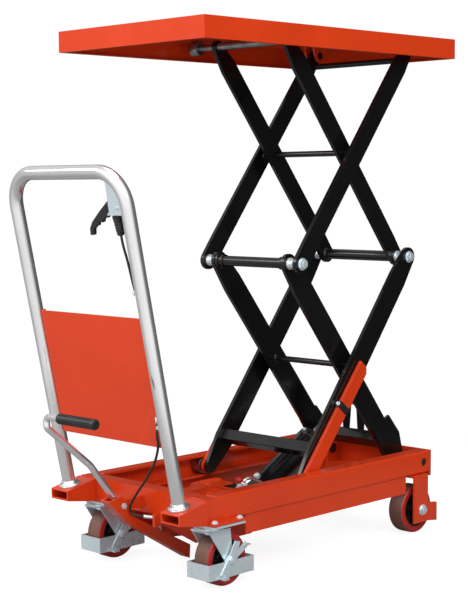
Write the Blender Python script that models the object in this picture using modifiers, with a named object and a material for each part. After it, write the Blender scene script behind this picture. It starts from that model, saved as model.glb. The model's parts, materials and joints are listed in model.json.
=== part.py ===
"""Double-scissor hydraulic lift table truck, one closed solid per physical piece.

Metres, +Z up, floor at Z=0. X runs along the table with the push handle at -X;
left is +Y and right is -Y for someone standing at the handle and facing the table.
The lift is modelled fully raised, the foot pedal up and the safety bars stowed.
Parts are drawn with X=0 under the middle of the table, and the last step moves them
along X so that the origin is the floor point under the middle of the overall length.
"""

import math

import bmesh
import bpy
from mathutils import Matrix, Vector

# ---- driving dimensions ----------------------------------------------------
TABLE_LENGTH = 0.905
TABLE_WIDTH = 0.500
TABLE_DEPTH = 0.050
TABLE_SHEET = 0.003

CHASSIS_WIDTH = 0.436
REAR_X = -0.433
FRONT_X = 0.4023
RAIL_HEIGHT = 0.058
RAIL_FLANGE = 0.039
RAIL_ROUNDING = 0.005
BEAM_DEPTH = 0.040

ARM_PITCH = 0.6826
RAISED_ANGLE = math.radians(52.24)
FIXED_X = 0.371
ARM_THICKNESS = 0.010
UPPER_ARM_WIDTH = 0.050
LOWER_ARM_WIDTH = 0.062
CROSSBAR = 0.030
BASE_ROLLER = 0.044
TABLE_ROLLER = 0.036
ROLLER_WIDTH = 0.026

WHEEL_DIAMETER = 0.127
TYRE_WIDTH = 0.046
CASTER_X = -0.397
CASTER_Y = 0.190
CASTER_TRAIL = 0.036
FIXED_WHEEL_X = 0.350
FIXED_WHEEL_Y = 0.188

HANDLE_TUBE = 0.032
HANDLE_HEIGHT = 0.966
HANDLE_FOOT_X = -0.491
HANDLE_HALF_SPAN = 0.193
HANDLE_SLOPE = 0.207
HANDLE_BEND = 0.078

BARREL_DIAMETER = 0.070
ROD_DIAMETER = 0.029
SAFETY_BAR_LENGTH = 0.354
SAFETY_BAR_ANGLE = RAISED_ANGLE - math.radians(1.95)
SAFETY_BAR_WIDTH = 0.038
PEDAL_ROD = 0.016
PEDAL_GRIP = 0.024
PEDAL_GRIP_RANGE = (0.045, 0.169)
PEDAL_ARM_WIDTH = 0.032

GAP = 0.0003

# ---- positions that follow from them ---------------------------------------
HALF = CHASSIS_WIDTH / 2
RAIL_Z = WHEEL_DIAMETER + 0.030
RAIL_TOP = RAIL_Z + RAIL_HEIGHT
PIVOT_Z = RAIL_Z + RAIL_HEIGHT / 2
ROLLER_X = FIXED_X - ARM_PITCH * math.cos(RAISED_ANGLE)
MID_Z = PIVOT_Z + ARM_PITCH * math.sin(RAISED_ANGLE)
TOP_Z = PIVOT_Z + 2 * ARM_PITCH * math.sin(RAISED_ANGLE)
CENTER_X = (FIXED_X + ROLLER_X) / 2
TABLE_TOP = TOP_Z + TABLE_ROLLER / 2 + TABLE_SHEET + 0.0006
INNER = (HALF - 0.103, HALF - 0.103 + ARM_THICKNESS)
OUTER = (HALF - 0.063, HALF - 0.063 + ARM_THICKNESS)
BAR_LAYER = (HALF - 0.0505, HALF - 0.0415)
ROLLER_LAYER = (HALF - 0.0377, HALF - 0.0377 + ROLLER_WIDTH)
LUG_LAYER = (HALF - 0.118, HALF - 0.112)
SKIRT_LAYER = (HALF - 0.0075, HALF - 0.0040)
AXLE_Z = WHEEL_DIAMETER / 2

LEAN_UP = Vector((-HANDLE_SLOPE, 0.0, 1.0)).normalized()
LEAN_OUT = Vector((1.0, 0.0, HANDLE_SLOPE)).normalized()
SOCKET_TOP = RAIL_TOP - 0.0157
HANDLE_FOOT = Vector((HANDLE_FOOT_X, 0.0, SOCKET_TOP))
HANDLE_LENGTH = (HANDLE_HEIGHT - HANDLE_TUBE / 2 - SOCKET_TOP) / LEAN_UP.z

INNER_DIR = Vector((-math.cos(RAISED_ANGLE), 0.0, math.sin(RAISED_ANGLE)))
INNER_NORMAL = Vector((math.sin(RAISED_ANGLE), 0.0, math.cos(RAISED_ANGLE)))
OUTER_DIR = Vector((math.cos(RAISED_ANGLE), 0.0, math.sin(RAISED_ANGLE)))
BASE_PIVOT = Vector((FIXED_X, 0.0, PIVOT_Z))
BASE_ROLL = Vector((ROLLER_X, 0.0, PIVOT_Z))
MID_REAR = Vector((ROLLER_X, 0.0, MID_Z))
MID_FRONT = Vector((FIXED_X, 0.0, MID_Z))
TOP_PIVOT = Vector((FIXED_X, 0.0, TOP_Z))
TOP_ROLL = Vector((ROLLER_X, 0.0, TOP_Z))
LOWER_CENTER = Vector((CENTER_X, 0.0, (PIVOT_Z + MID_Z) / 2))
UPPER_CENTER = Vector((CENTER_X, 0.0, (MID_Z + TOP_Z) / 2))
ROD_PIN = BASE_PIVOT + 0.1417 * INNER_DIR + 0.0767 * INNER_NORMAL
BARREL_PIN = Vector((-0.080, 0.0, RAIL_Z - 0.045))
RAM_DIR = (ROD_PIN - BARREL_PIN).normalized()
RAM_LENGTH = (ROD_PIN - BARREL_PIN).length
PEDAL_PIVOT = Vector((-0.5005, 0.0, RAIL_Z + 0.0234))
LEVER_PIVOT = (-0.156, HANDLE_LENGTH - 0.0566)
PLUNGER_X = -0.3755
PEDAL_REACH = 0.208
ORIGIN_X = (PEDAL_PIVOT.x - PEDAL_REACH - PEDAL_GRIP / 2 + TABLE_LENGTH / 2) / 2

SIDES = {"left": 1.0, "right": -1.0}

# colour, metallic, roughness
FINISHES = {
    "orange_paint": ((0.72, 0.055, 0.014), 0.0, 0.28),
    "black_paint": ((0.012, 0.012, 0.013), 0.0, 0.30),
    "zinc_plate": ((0.60, 0.64, 0.68), 1.0, 0.30),
    "bright_chrome": ((0.80, 0.80, 0.80), 1.0, 0.12),
    "dark_steel": ((0.22, 0.22, 0.23), 1.0, 0.38),
    "tread_polyurethane": ((0.16, 0.065, 0.050), 0.0, 0.50),
    "hub_plastic": ((0.012, 0.012, 0.012), 0.0, 0.45),
    "black_rubber": ((0.018, 0.018, 0.020), 0.0, 0.60),
}


def clear_scene():
    for obj in list(bpy.data.objects):
        bpy.data.objects.remove(obj, do_unlink=True)


def new_collection(name, hidden=False):
    collection = bpy.data.collections.new(name)
    bpy.context.scene.collection.children.link(collection)
    collection.hide_render = hidden
    return collection


clear_scene()
TRUCK = new_collection("scissor_lift_table")
CUTTERS = new_collection("cutters", hidden=True)


# ---- shapes, each returned as an unlinked object in world coordinates -------
def from_bmesh(bm):
    bmesh.ops.remove_doubles(bm, verts=bm.verts, dist=0.00001)
    bmesh.ops.recalc_face_normals(bm, faces=bm.faces)
    mesh = bpy.data.meshes.new("shape")
    bm.to_mesh(mesh)
    bm.free()
    return bpy.data.objects.new("shape", mesh)


def block(x, y, z):
    """A box from three ranges; each range may be given in either order."""
    bm = bmesh.new()
    bmesh.ops.create_cube(bm, size=1.0)
    size = Vector([abs(r[1] - r[0]) for r in (x, y, z)])
    middle = Vector([(r[0] + r[1]) / 2 for r in (x, y, z)])
    bm.transform(Matrix.Translation(middle) @ Matrix.Diagonal((*size, 1.0)))
    return from_bmesh(bm)


def frame_block(origin, along, normal, a, n, y):
    """A box in the frame of a link: a along it, n across it, y sideways."""
    obj = block(a, y, n)
    side = Vector((0.0, 1.0, 0.0))
    turn = Matrix((along, side, normal)).transposed().to_4x4()
    obj.data.transform(Matrix.Translation(origin) @ turn)
    if turn.determinant() < 0:
        obj.data.flip_normals()
    return obj


def prism(outline, y, place=None):
    """An outline in (x, z) pushed along Y, then moved by a matrix."""
    bm = bmesh.new()
    ring = [bm.verts.new((x, min(y), z)) for x, z in outline]
    face = bm.faces.new(ring)
    pushed = bmesh.ops.extrude_face_region(bm, geom=[face])["geom"]
    verts = [v for v in pushed if isinstance(v, bmesh.types.BMVert)]
    bmesh.ops.translate(bm, verts=verts, vec=(0.0, abs(y[1] - y[0]), 0.0))
    if place is not None:
        bm.transform(place)
    return from_bmesh(bm)


def cylinder(start, end, radius, segments=16):
    start, end = Vector(start), Vector(end)
    bm = bmesh.new()
    bmesh.ops.create_cone(
        bm,
        cap_ends=True,
        segments=segments,
        radius1=radius,
        radius2=radius,
        depth=(end - start).length,
    )
    turn = Vector((0.0, 0.0, 1.0)).rotation_difference(end - start).to_matrix()
    bm.transform(Matrix.Translation((start + end) / 2) @ turn.to_4x4())
    return from_bmesh(bm)


def pin(center, y, radius, segments=16):
    """A cylinder along Y through a point given by its x and z."""
    return cylinder((center[0], y[0], center[2]), (center[0], y[1], center[2]), radius, segments)


def evaluated(obj):
    """The shape that an object's curve or modifiers give, as a plain closed mesh."""
    CUTTERS.objects.link(obj)
    depsgraph = bpy.context.evaluated_depsgraph_get()
    mesh = bpy.data.meshes.new_from_object(obj.evaluated_get(depsgraph))
    mesh.transform(obj.matrix_world)
    bpy.data.objects.remove(obj, do_unlink=True)
    bm = bmesh.new()
    bm.from_mesh(mesh)
    return from_bmesh(bm)


def turned(profile, origin, axis, segments=20):
    """A closed (radius, offset) profile turned about an axis through a point."""
    edges = [(i, (i + 1) % len(profile)) for i in range(len(profile))]
    mesh = bpy.data.meshes.new("profile")
    mesh.from_pydata([(r, 0.0, a) for r, a in profile], [e for e in edges if not on_axis(profile, e)], [])
    obj = bpy.data.objects.new("profile", mesh)
    screw = obj.modifiers.new("Turn", "SCREW")
    screw.steps = screw.render_steps = segments
    screw.use_merge_vertices = True
    screw.merge_threshold = 0.00001
    shape = evaluated(obj)
    turn = Vector((0.0, 0.0, 1.0)).rotation_difference(Vector(axis)).to_matrix()
    shape.data.transform(Matrix.Translation(origin) @ turn.to_4x4())
    return shape


def on_axis(profile, edge):
    return all(profile[i][0] == 0.0 for i in edge)


def swept(points, radii, resolution=4):
    """A round bar along a path; its ring has 4 + 2 * resolution corners."""
    curve = bpy.data.curves.new("path", "CURVE")
    curve.dimensions = "3D"
    curve.bevel_resolution = resolution
    curve.use_fill_caps = True
    spline = curve.splines.new("POLY")
    spline.points.add(len(points) - 1)
    if isinstance(radii, float):
        radii = [radii] * len(points)
    curve.bevel_depth = radii[0]
    for knot, point, radius in zip(spline.points, points, radii):
        knot.co = (*point, 1.0)
        knot.radius = radius / radii[0]
    return evaluated(bpy.data.objects.new("path", curve))


# ---- outlines in (x, z) -----------------------------------------------------
def circle_points(center, radius, count):
    return [
        (
            center[0] + radius * math.cos(2 * math.pi * k / count),
            center[1] + radius * math.sin(2 * math.pi * k / count),
        )
        for k in range(count)
    ]


def hull(points):
    """The convex outline around a set of points, counter-clockwise."""
    points = sorted({(round(x, 7), round(z, 7)) for x, z in points})

    def half(sequence):
        chain = []
        for p in sequence:
            while len(chain) > 1:
                a, b = chain[-2], chain[-1]
                turn = (b[0] - a[0]) * (p[1] - a[1]) - (b[1] - a[1]) * (p[0] - a[0])
                if turn > 1e-10:
                    break
                chain.pop()
            chain.append(p)
        return chain[:-1]

    return half(points) + half(reversed(points))


def flat(vector):
    return (vector.x, vector.z)


def link_outline(start, end, width, tips, tapers):
    """A tapered flat link: round tips at both pins, full width between."""
    start, end = Vector(start), Vector(end)
    along = (end - start).normalized()
    normal = Vector((-along.z, 0.0, along.x))
    points = circle_points(flat(start), tips[0], 18) + circle_points(flat(end), tips[1], 18)
    for base, reach in ((start, tapers[0]), (end, -tapers[1])):
        for side in (-1, 1):
            points.append(flat(base + along * reach + normal * side * width / 2))
    return hull(points)


def bend(corner, before, after, radius, steps=6):
    """Points of an arc that rounds a corner of a path."""
    corner, before, after = Vector(corner), Vector(before), Vector(after)
    to_before = (before - corner).normalized()
    to_after = (after - corner).normalized()
    half = to_before.angle(to_after) / 2
    center = corner + (to_before + to_after).normalized() * radius / math.sin(half)
    reach = radius / math.tan(half)
    start, end = corner + to_before * reach - center, corner + to_after * reach - center
    start, end = start.normalized(), end.normalized()
    return [center + start.slerp(end, k / steps) * radius for k in range(steps + 1)]


def smooth(points, samples=2):
    """A smooth path through points (Catmull-Rom)."""
    points = [Vector(p) for p in points]
    padded = [2 * points[0] - points[1]] + points + [2 * points[-1] - points[-2]]
    path = []
    for i in range(1, len(padded) - 2):
        a, b, c, d = padded[i - 1 : i + 3]
        for k in range(samples):
            t = k / samples
            path.append(
                0.5
                * (
                    2 * b
                    + (c - a) * t
                    + (2 * a - 5 * b + 4 * c - d) * t * t
                    + (3 * b - a - 3 * c + d) * t**3
                )
            )
    return path + [points[-1]]


# ---- finishing a piece -------------------------------------------------------
def material(name, finish):
    color, metallic, roughness = FINISHES[finish]
    mat = bpy.data.materials.new(name)
    mat.use_nodes = True
    shader = mat.node_tree.nodes["Principled BSDF"]
    shader.inputs["Base Color"].default_value = (*color, 1.0)
    shader.inputs["Metallic"].default_value = metallic
    shader.inputs["Roughness"].default_value = roughness
    mat.diffuse_color = (*color, 1.0)
    return mat


def combine(obj, others, operation):
    for other in others:
        CUTTERS.objects.link(other)
        other.name = f"{obj.name}_{operation.lower()}"
        other.hide_render = True
        other.display_type = "WIRE"
        modifier = obj.modifiers.new(operation.title(), "BOOLEAN")
        modifier.operation = operation
        modifier.solver = "EXACT"
        modifier.object = other


def piece(name, shape, finish, pivot=(0.0, 0.0, 0.0), add=(), cut=()):
    """Name a shape, join and cut it, and put its origin on its pivot."""
    shape.name = name
    shape.data.name = name
    shape.data.transform(Matrix.Translation(-Vector(pivot)))
    shape.location = pivot
    TRUCK.objects.link(shape)
    combine(shape, add, "UNION")
    combine(shape, cut, "DIFFERENCE")
    shape.data.materials.append(material(f"{name}_material", finish))
    return shape


def through(sign, layer):
    """A range of y for a hole cutter that passes a layer on both sides."""
    return (sign * (layer[0] - 0.020), sign * (layer[1] + 0.020))


def span(sign, layer):
    return (sign * layer[0], sign * layer[1])


# ---- chassis ---------------------------------------------------------------
def rail_corner(start, end, s, z, up):
    """What is cut away to round an outer long edge of a rail; up is the side the edge faces."""
    radius, spare = RAIL_ROUNDING, 0.002
    y, middle = HALF - radius, z - up * radius
    strip = block(
        (start - spare, end + spare), (s * y, s * (HALF + spare)), tuple(sorted((middle, z + up * spare)))
    )
    rod = cylinder((start - 2 * spare, s * y, middle), (end + 2 * spare, s * y, middle), radius, 32)
    combine(strip, [rod], "DIFFERENCE")
    return strip


def side_rails():
    for side, s in SIDES.items():
        start, end = REAR_X + BEAM_DEPTH + GAP, FRONT_X - 0.006 - GAP
        web = block((start, end), (s * (HALF - 0.004), s * HALF), (RAIL_Z, RAIL_TOP))
        flanges = [
            block((start, end), (s * (HALF - RAIL_FLANGE), s * (HALF - 0.001)), z)
            for z in ((RAIL_TOP - 0.006, RAIL_TOP), (RAIL_Z, RAIL_Z + 0.006))
        ]
        skirt = block((-0.300, 0.300), span(s, SKIRT_LAYER), (RAIL_Z - 0.045, RAIL_Z + 0.001))
        ear_z = (RAIL_Z - 0.0025, RAIL_Z + 0.0035)
        ear = block((start + 0.001, -0.330), (s * (HALF - 0.002), s * (HALF + 0.0265)), ear_z)
        tip = block(
            (REAR_X + GAP, start + 0.003), (s * (HALF + GAP), s * (HALF + 0.0265)), ear_z
        )
        hole = pin(BASE_PIVOT, (s * (HALF - 0.010), s * (HALF + 0.010)), 0.0105)
        corners = [rail_corner(start, end, s, z, up) for z, up in ((RAIL_TOP, 1.0), (RAIL_Z, -1.0))]
        rail = piece(f"side_rail_{side}", web, "orange_paint", add=flanges, cut=corners)
        combine(rail, [skirt, ear, tip], "UNION")
        combine(rail, [hole], "DIFFERENCE")


def handle_crossbeam():
    x = (REAR_X, REAR_X + BEAM_DEPTH)
    shell = block(x, (-HALF, HALF), (RAIL_Z - 0.003, RAIL_TOP - 0.002))
    pocket = block(
        (x[0] + 0.004, x[1] + 0.010), (-HALF + 0.004, HALF - 0.004), (RAIL_Z + 0.001, RAIL_TOP - 0.006)
    )
    outline = hull(
        circle_points(flat(PEDAL_PIVOT), 0.011, 20)
        + [(REAR_X + 0.001, RAIL_Z + 0.008), (REAR_X + 0.001, RAIL_Z + 0.036)]
    )
    pedal_lug = prism(outline, (-0.006, 0.006))
    cable_lug = block((REAR_X - 0.022, REAR_X + 0.002), (-0.0712, -0.0632), (RAIL_Z - 0.026, RAIL_Z + 0.004))
    hole = pin(PEDAL_PIVOT, (-0.020, 0.020), 0.0054, 16)
    piece(
        "handle_crossbeam", shell, "orange_paint", add=[pedal_lug, cable_lug], cut=[pocket, hole]
    )


def front_crossbeam():
    plate = block(
        (FRONT_X - 0.006, FRONT_X), (-HALF + 0.0002, HALF - 0.0002), (RAIL_Z - 0.0105, RAIL_TOP)
    )
    floor = block((0.250, FRONT_X - 0.005), (-0.1497, 0.1497), (RAIL_Z - 0.0105, RAIL_Z - 0.007))
    lugs = [
        block((FIXED_X - 0.022, FRONT_X - 0.005), span(s, LUG_LAYER), (RAIL_Z - 0.009, RAIL_TOP - 0.005))
        for s in SIDES.values()
    ]
    hole = pin(BASE_PIVOT, (-0.120, 0.120), 0.0105)
    piece("front_crossbeam", plate, "orange_paint", add=[floor] + lugs, cut=[hole])


def pivot_pins():
    """Fixed lower pivots: a headed pin through lug, inner arm and rail on each side."""
    for side, s in SIDES.items():
        inside, end = LUG_LAYER[0] - 0.0005, HALF - 0.0012
        profile = [
            (0.0, inside - 0.004),
            (0.014, inside - 0.004),
            (0.014, inside),
            (0.010, inside),
            (0.010, end),
            (0.0, end),
        ]
        shape = turned(profile, (FIXED_X, 0.0, PIVOT_Z), (0.0, s, 0.0), 20)
        piece(f"pivot_pin_{side}", shape, "dark_steel")


def pump_tray():
    """Cross plate between the rails with a hung cradle for the ram and the pump."""
    low = RAIL_Z - 0.039
    plate = block((-0.235, -0.045), (GAP - SKIRT_LAYER[0], SKIRT_LAYER[0] - GAP), (low, low + 0.004))
    side = [
        (-0.425, RAIL_Z - 0.0036),
        (-0.425, RAIL_Z - 0.022),
        (-0.300, 0.062),
        (-0.205, 0.052),
        (-0.110, 0.052),
        (-0.030, 0.088),
        (-0.012, low),
        (-0.012, low + 0.003),
        (-0.204, low + 0.003),
        (-0.242, RAIL_Z - 0.008),
    ]
    cheeks = [prism(side, (s * 0.043, s * 0.047)) for s in SIDES.values()]
    web = block((-0.213, -0.112), (-0.045, 0.045), (0.052, 0.056))
    pivot = pin(BARREL_PIN, (-0.0455, 0.0455), 0.008)
    slot = block((-0.118, -0.040), (-0.040, 0.040), (low - 0.010, low + 0.010))
    tray = piece("pump_tray", plate, "orange_paint", add=cheeks + [web])
    combine(tray, [slot], "DIFFERENCE")
    combine(tray, [pivot], "UNION")


def pump_block():
    base = RAIL_Z - 0.0347
    body = block((-0.187, -0.112), (-0.050, 0.050), (base, RAIL_Z + 0.016))
    bridge = block((-0.256, -0.180), (-0.0205, 0.0205), (base, RAIL_Z + 0.003))
    head = block((-0.3915, -0.240), (-0.020, 0.020), (RAIL_Z - 0.014, RAIL_Z + 0.025))
    tank = cylinder((-0.180, 0.070, RAIL_Z - 0.006), (-0.115, 0.070, RAIL_Z - 0.006), 0.026, 20)
    neck = block((-0.165, -0.130), (0.045, 0.060), (RAIL_Z - 0.020, RAIL_Z + 0.006))
    bore = cylinder((PLUNGER_X, 0.0, RAIL_Z - 0.030), (PLUNGER_X, 0.0, RAIL_Z + 0.0225), 0.0085)
    piece("pump_block", body, "black_paint", add=[bridge, head, tank, neck], cut=[bore])


def handle_sockets():
    mouth = HANDLE_FOOT_X - 0.031

    def top(x):
        return SOCKET_TOP + (x - HANDLE_FOOT_X) * HANDLE_SLOPE

    for side, s in SIDES.items():
        inboard, outboard = HANDLE_HALF_SPAN - 0.029, HALF + 0.008
        near = REAR_X - GAP
        shell = prism(
            [(near, RAIL_Z - 0.003), (near, top(near)), (mouth, top(mouth)), (mouth, RAIL_Z + 0.011)],
            (s * inboard, s * outboard),
        )
        hollow = prism(
            [
                (near - 0.004, RAIL_Z + 0.0015),
                (near - 0.004, top(near) - 0.005),
                (mouth - 0.002, top(mouth) - 0.0045),
                (mouth - 0.002, RAIL_Z + 0.0155),
            ],
            (s * (inboard + 0.004), s * (outboard - 0.004)),
        )
        piece(f"handle_socket_{side}", shell, "orange_paint", cut=[hollow])


def on_handle(y, height, out=0.0):
    """A point of the leaning handle plane: sideways, along the lean, and off the plane."""
    return HANDLE_FOOT + Vector((0.0, y, 0.0)) + LEAN_UP * height + LEAN_OUT * out


def handle_tube():
    """Push handle: an inverted U of tube whose open feet stand in welded collars."""
    foot = GAP
    corners = [
        on_handle(HANDLE_HALF_SPAN, foot),
        on_handle(HANDLE_HALF_SPAN, HANDLE_LENGTH),
        on_handle(-HANDLE_HALF_SPAN, HANDLE_LENGTH),
        on_handle(-HANDLE_HALF_SPAN, foot),
    ]
    arch = bend(corners[1], corners[0], corners[2], HANDLE_BEND)
    arch += bend(corners[2], corners[1], corners[3], HANDLE_BEND)
    radius = HANDLE_TUBE / 2
    tube = swept([corners[0], *arch, corners[3]], radius, 5)
    below = LEAN_UP * 0.010
    bore = swept([corners[0] - below, *arch, corners[3] - below], radius - 0.002, 5)
    profile = [
        (radius - 0.001, foot + 0.0005),
        (radius + 0.010, foot + 0.0005),
        (radius + 0.010, foot + 0.004),
        (radius + 0.003, foot + 0.010),
        (radius + 0.0025, foot + 0.014),
        (radius - 0.001, foot + 0.014),
    ]
    collars = [turned(profile, on_handle(s * HANDLE_HALF_SPAN, 0.0), LEAN_UP, 18) for s in (1, -1)]
    piece("handle_tube", tube, "bright_chrome", add=collars, cut=[bore])


def back_panel():
    """Sheet between the uprights with folded side edges and a notch for the cable."""
    low = (RAIL_Z + 0.181 - SOCKET_TOP) / LEAN_UP.z
    high = low + 0.300
    half = HANDLE_HALF_SPAN - HANDLE_TUBE / 2 - 0.0015

    def plane(y, out, heights):
        return frame_block(HANDLE_FOOT, LEAN_UP, LEAN_OUT, heights, out, y)

    sheet = plane((-half, half), (-0.0012, 0.012), (low, high))
    hollow = plane((-half + 0.002, half - 0.002), (0.0012, 0.020), (low - 0.010, high + 0.010))
    notch = plane((-half - 0.003, -half + 0.013), (-0.004, 0.015), (low + 0.045, low + 0.072))
    piece("back_panel", sheet, "orange_paint", cut=[hollow, notch])


def handle_plane_prism(outline, out):
    """An outline in (y, height) on the handle plane, given thickness off the plane."""
    place = Matrix(
        (
            (0.0, LEAN_OUT.x, LEAN_UP.x, HANDLE_FOOT.x),
            (1.0, LEAN_OUT.y, LEAN_UP.y, HANDLE_FOOT.y),
            (0.0, LEAN_OUT.z, LEAN_UP.z, HANDLE_FOOT.z),
            (0.0, 0.0, 0.0, 1.0),
        )
    )
    return prism(outline, out, place)


def lever_bracket():
    """Gusset in the right-hand top bend; its pin carries the release lever."""
    reach = HANDLE_BEND - HANDLE_TUBE / 2 - 0.0010
    center = (-HANDLE_HALF_SPAN + HANDLE_BEND, HANDLE_LENGTH - HANDLE_BEND)
    low = HANDLE_LENGTH - 0.0955
    outline = [(-0.131, low + 0.008), (-0.122, low), (center[0] - reach, low)]
    for degrees in range(180, 100, -12):
        turn = math.radians(degrees)
        outline.append((center[0] + reach * math.cos(turn), center[1] + reach * math.sin(turn)))
    plate = handle_plane_prism(outline, (-0.0015, 0.0015))
    edge = center[0] - reach - 0.0006
    lip = handle_plane_prism(
        [(-0.1305, low + 0.0006), (-0.1305, low + 0.0034), (edge, low + 0.0034), (edge, low + 0.0006)],
        (0.0, 0.014),
    )
    start = on_handle(LEVER_PIVOT[0], LEVER_PIVOT[1], 0.0)
    stud = cylinder(start, start + LEAN_OUT * 0.0135, 0.003, 14)
    piece("lever_bracket", plate, "zinc_plate", add=[lip, stud])


def release_lever():
    y, h = LEVER_PIVOT
    outline = [
        (y - 0.009, h + 0.004),
        (y - 0.002, h + 0.010),
        (y + 0.010, h + 0.009),
        (y + 0.024, h - 0.004),
        (y + 0.0615, h - 0.0305),
        (y + 0.0922, h - 0.0548),
        (y + 0.1030, h - 0.0690),
        (y + 0.1054, h - 0.0845),
        (y + 0.0940, h - 0.0845),
        (y + 0.0905, h - 0.0710),
        (y + 0.0851, h - 0.0674),
        (y + 0.0780, h - 0.0618),
        (y + 0.0745, h - 0.0635),
        (y + 0.0700, h - 0.0560),
        (y + 0.0620, h - 0.0535),
        (y + 0.0570, h - 0.0560),
        (y + 0.0520, h - 0.0480),
        (y + 0.0430, h - 0.0445),
        (y + 0.0370, h - 0.0450),
        (y + 0.0325, h - 0.0340),
        (y + 0.0240, h - 0.0310),
        (y + 0.0100, h - 0.0160),
        (y - 0.006, h - 0.0085),
        (y - 0.011, h - 0.002),
    ]
    lever = handle_plane_prism(outline, (0.0022, 0.0112))
    start = on_handle(y, h, -0.005)
    hole = cylinder(start, start + LEAN_OUT * 0.030, 0.0034, 14)
    piece("release_lever", lever, "black_rubber", pivot=on_handle(y, h, 0.0065), cut=[hole])


def release_cable():
    """Rubber boot and cable in one: down the right upright to the lug on the beam."""
    top = HANDLE_LENGTH - 0.0955 - 0.0016
    boot = [
        on_handle(-0.1480, top, 0.0065),
        on_handle(-0.1485, top - 0.014, 0.0062),
        on_handle(-0.1515, top - 0.036, 0.0040),
        on_handle(-0.1526, top - 0.0435, 0.0030),
    ]
    panel_top = (RAIL_Z + 0.181 - SOCKET_TOP) / LEAN_UP.z + 0.300
    ends = [
        on_handle(-0.1515, top - 0.036, 0.0040),
        on_handle(-0.1570, top - 0.063, 0.0),
        on_handle(-0.1630, top - 0.101, 0.0),
        on_handle(-0.1705, panel_top + 0.062, 0.0),
        on_handle(-0.1680, panel_top + 0.012, 0.013),
        on_handle(-0.1680, panel_top - 0.120, 0.014),
        on_handle(-0.1680, panel_top - 0.205, 0.014),
        on_handle(-0.1690, panel_top - 0.242, 0.0),
        on_handle(-0.1690, panel_top - 0.270, -0.008),
        on_handle(-0.1655, panel_top - 0.293, -0.006),
        (-0.5108, -0.1353, RAIL_Z + 0.1435),
        (-0.5010, -0.0939, RAIL_Z + 0.0961),
        (-0.4932, -0.0542, RAIL_Z + 0.0587),
        (-0.4880, -0.0245, RAIL_Z + 0.0235),
        (-0.4840, -0.0225, RAIL_Z + 0.0060),
        (-0.4780, -0.0300, RAIL_Z + 0.0003),
        (-0.4660, -0.0440, RAIL_Z - 0.0020),
        (REAR_X - 0.017, -0.0596, RAIL_Z - 0.0045),
    ]
    cable = swept(smooth(ends), 0.0030, 2)
    sleeve = swept(boot, [0.0128, 0.0110, 0.0078, 0.0068], 4)
    ferrule = cylinder((-0.4655, -0.0446, RAIL_Z - 0.0021), (REAR_X - 0.0172, -0.0594, RAIL_Z - 0.0045), 0.0046, 12)
    piece("release_cable", sleeve, "black_rubber", add=[cable, ferrule])


# ---- wheels ------------------------------------------------------------------
def tyre_shape(center):
    radius, half = WHEEL_DIAMETER / 2, TYRE_WIDTH / 2
    profile = [
        (radius - 0.0165, -half + 0.001),
        (radius - 0.006, -half),
        (radius, -half + 0.006),
        (radius, half - 0.006),
        (radius - 0.006, half),
        (radius - 0.0165, half - 0.001),
    ]
    return turned(profile, center, (0.0, 1.0, 0.0), 28)


def hub_shape(center, boss_half):
    rim, half = WHEEL_DIAMETER / 2 - 0.0168, TYRE_WIDTH / 2 - 0.003
    profile = [
        (0.0066, -boss_half),
        (0.014, -boss_half),
        (0.015, -0.007),
        (rim - 0.006, -0.007),
        (rim - 0.005, -half),
        (rim, -half),
        (rim, half),
        (rim - 0.005, half),
        (rim - 0.006, 0.007),
        (0.015, 0.007),
        (0.014, boss_half),
        (0.0066, boss_half),
    ]
    return turned(profile, center, (0.0, 1.0, 0.0), 20)


def casters():
    for side, s in SIDES.items():
        y, x = s * CASTER_Y, CASTER_X
        plate_z = (RAIL_Z - 0.0098, RAIL_Z - 0.0038)
        plate = block((x - 0.0352, x + 0.068), (y - 0.0525, y + 0.0525), plate_z)
        stud = cylinder((x, y, plate_z[0] + 0.001), (x, y, RAIL_Z - 0.0262), 0.006, 16)
        piece(f"caster_plate_{side}", plate, "zinc_plate", add=[stud])
        axle = Vector((x + CASTER_TRAIL, y, AXLE_Z))
        caster_fork(side, x, y, axle)
        piece(f"caster_tyre_{side}", tyre_shape(axle), "tread_polyurethane", pivot=axle)
        piece(f"caster_hub_{side}", hub_shape(axle, 0.0265), "hub_plastic", pivot=axle)
        brake_frame(side, y, axle)


def caster_fork(side, x, y, axle):
    top = RAIL_Z - 0.0102
    disc = turned(
        [
            (0.0064, top - 0.013),
            (0.026, top - 0.013),
            (0.034, top - 0.009),
            (0.035, top - 0.004),
            (0.030, top),
            (0.0064, top),
        ],
        (x, y, 0.0),
        (0.0, 0.0, 1.0),
        20,
    )
    crown = block((x - 0.027, x + 0.040), (y - 0.0305, y + 0.0305), (top - 0.0145, top - 0.0100))
    outline = hull(
        circle_points(flat(axle), 0.013, 20)
        + [(x - 0.027, top - 0.0115), (x + 0.040, top - 0.0115), (x + 0.038, top - 0.030)]
    )
    legs = [prism(outline, (y + t * 0.0275, y + t * 0.0305)) for t in (1, -1)]
    shaft = pin(axle, (y - 0.0420, y + 0.0420), 0.006, 16)
    hole = cylinder((x, y, top - 0.030), (x, y, top + 0.010), 0.0064, 16)
    fork = piece(f"caster_fork_{side}", disc, "zinc_plate", pivot=(x, y, RAIL_Z - 0.010), add=[crown] + legs)
    combine(fork, [hole], "DIFFERENCE")
    combine(fork, [shaft], "UNION")


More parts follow.
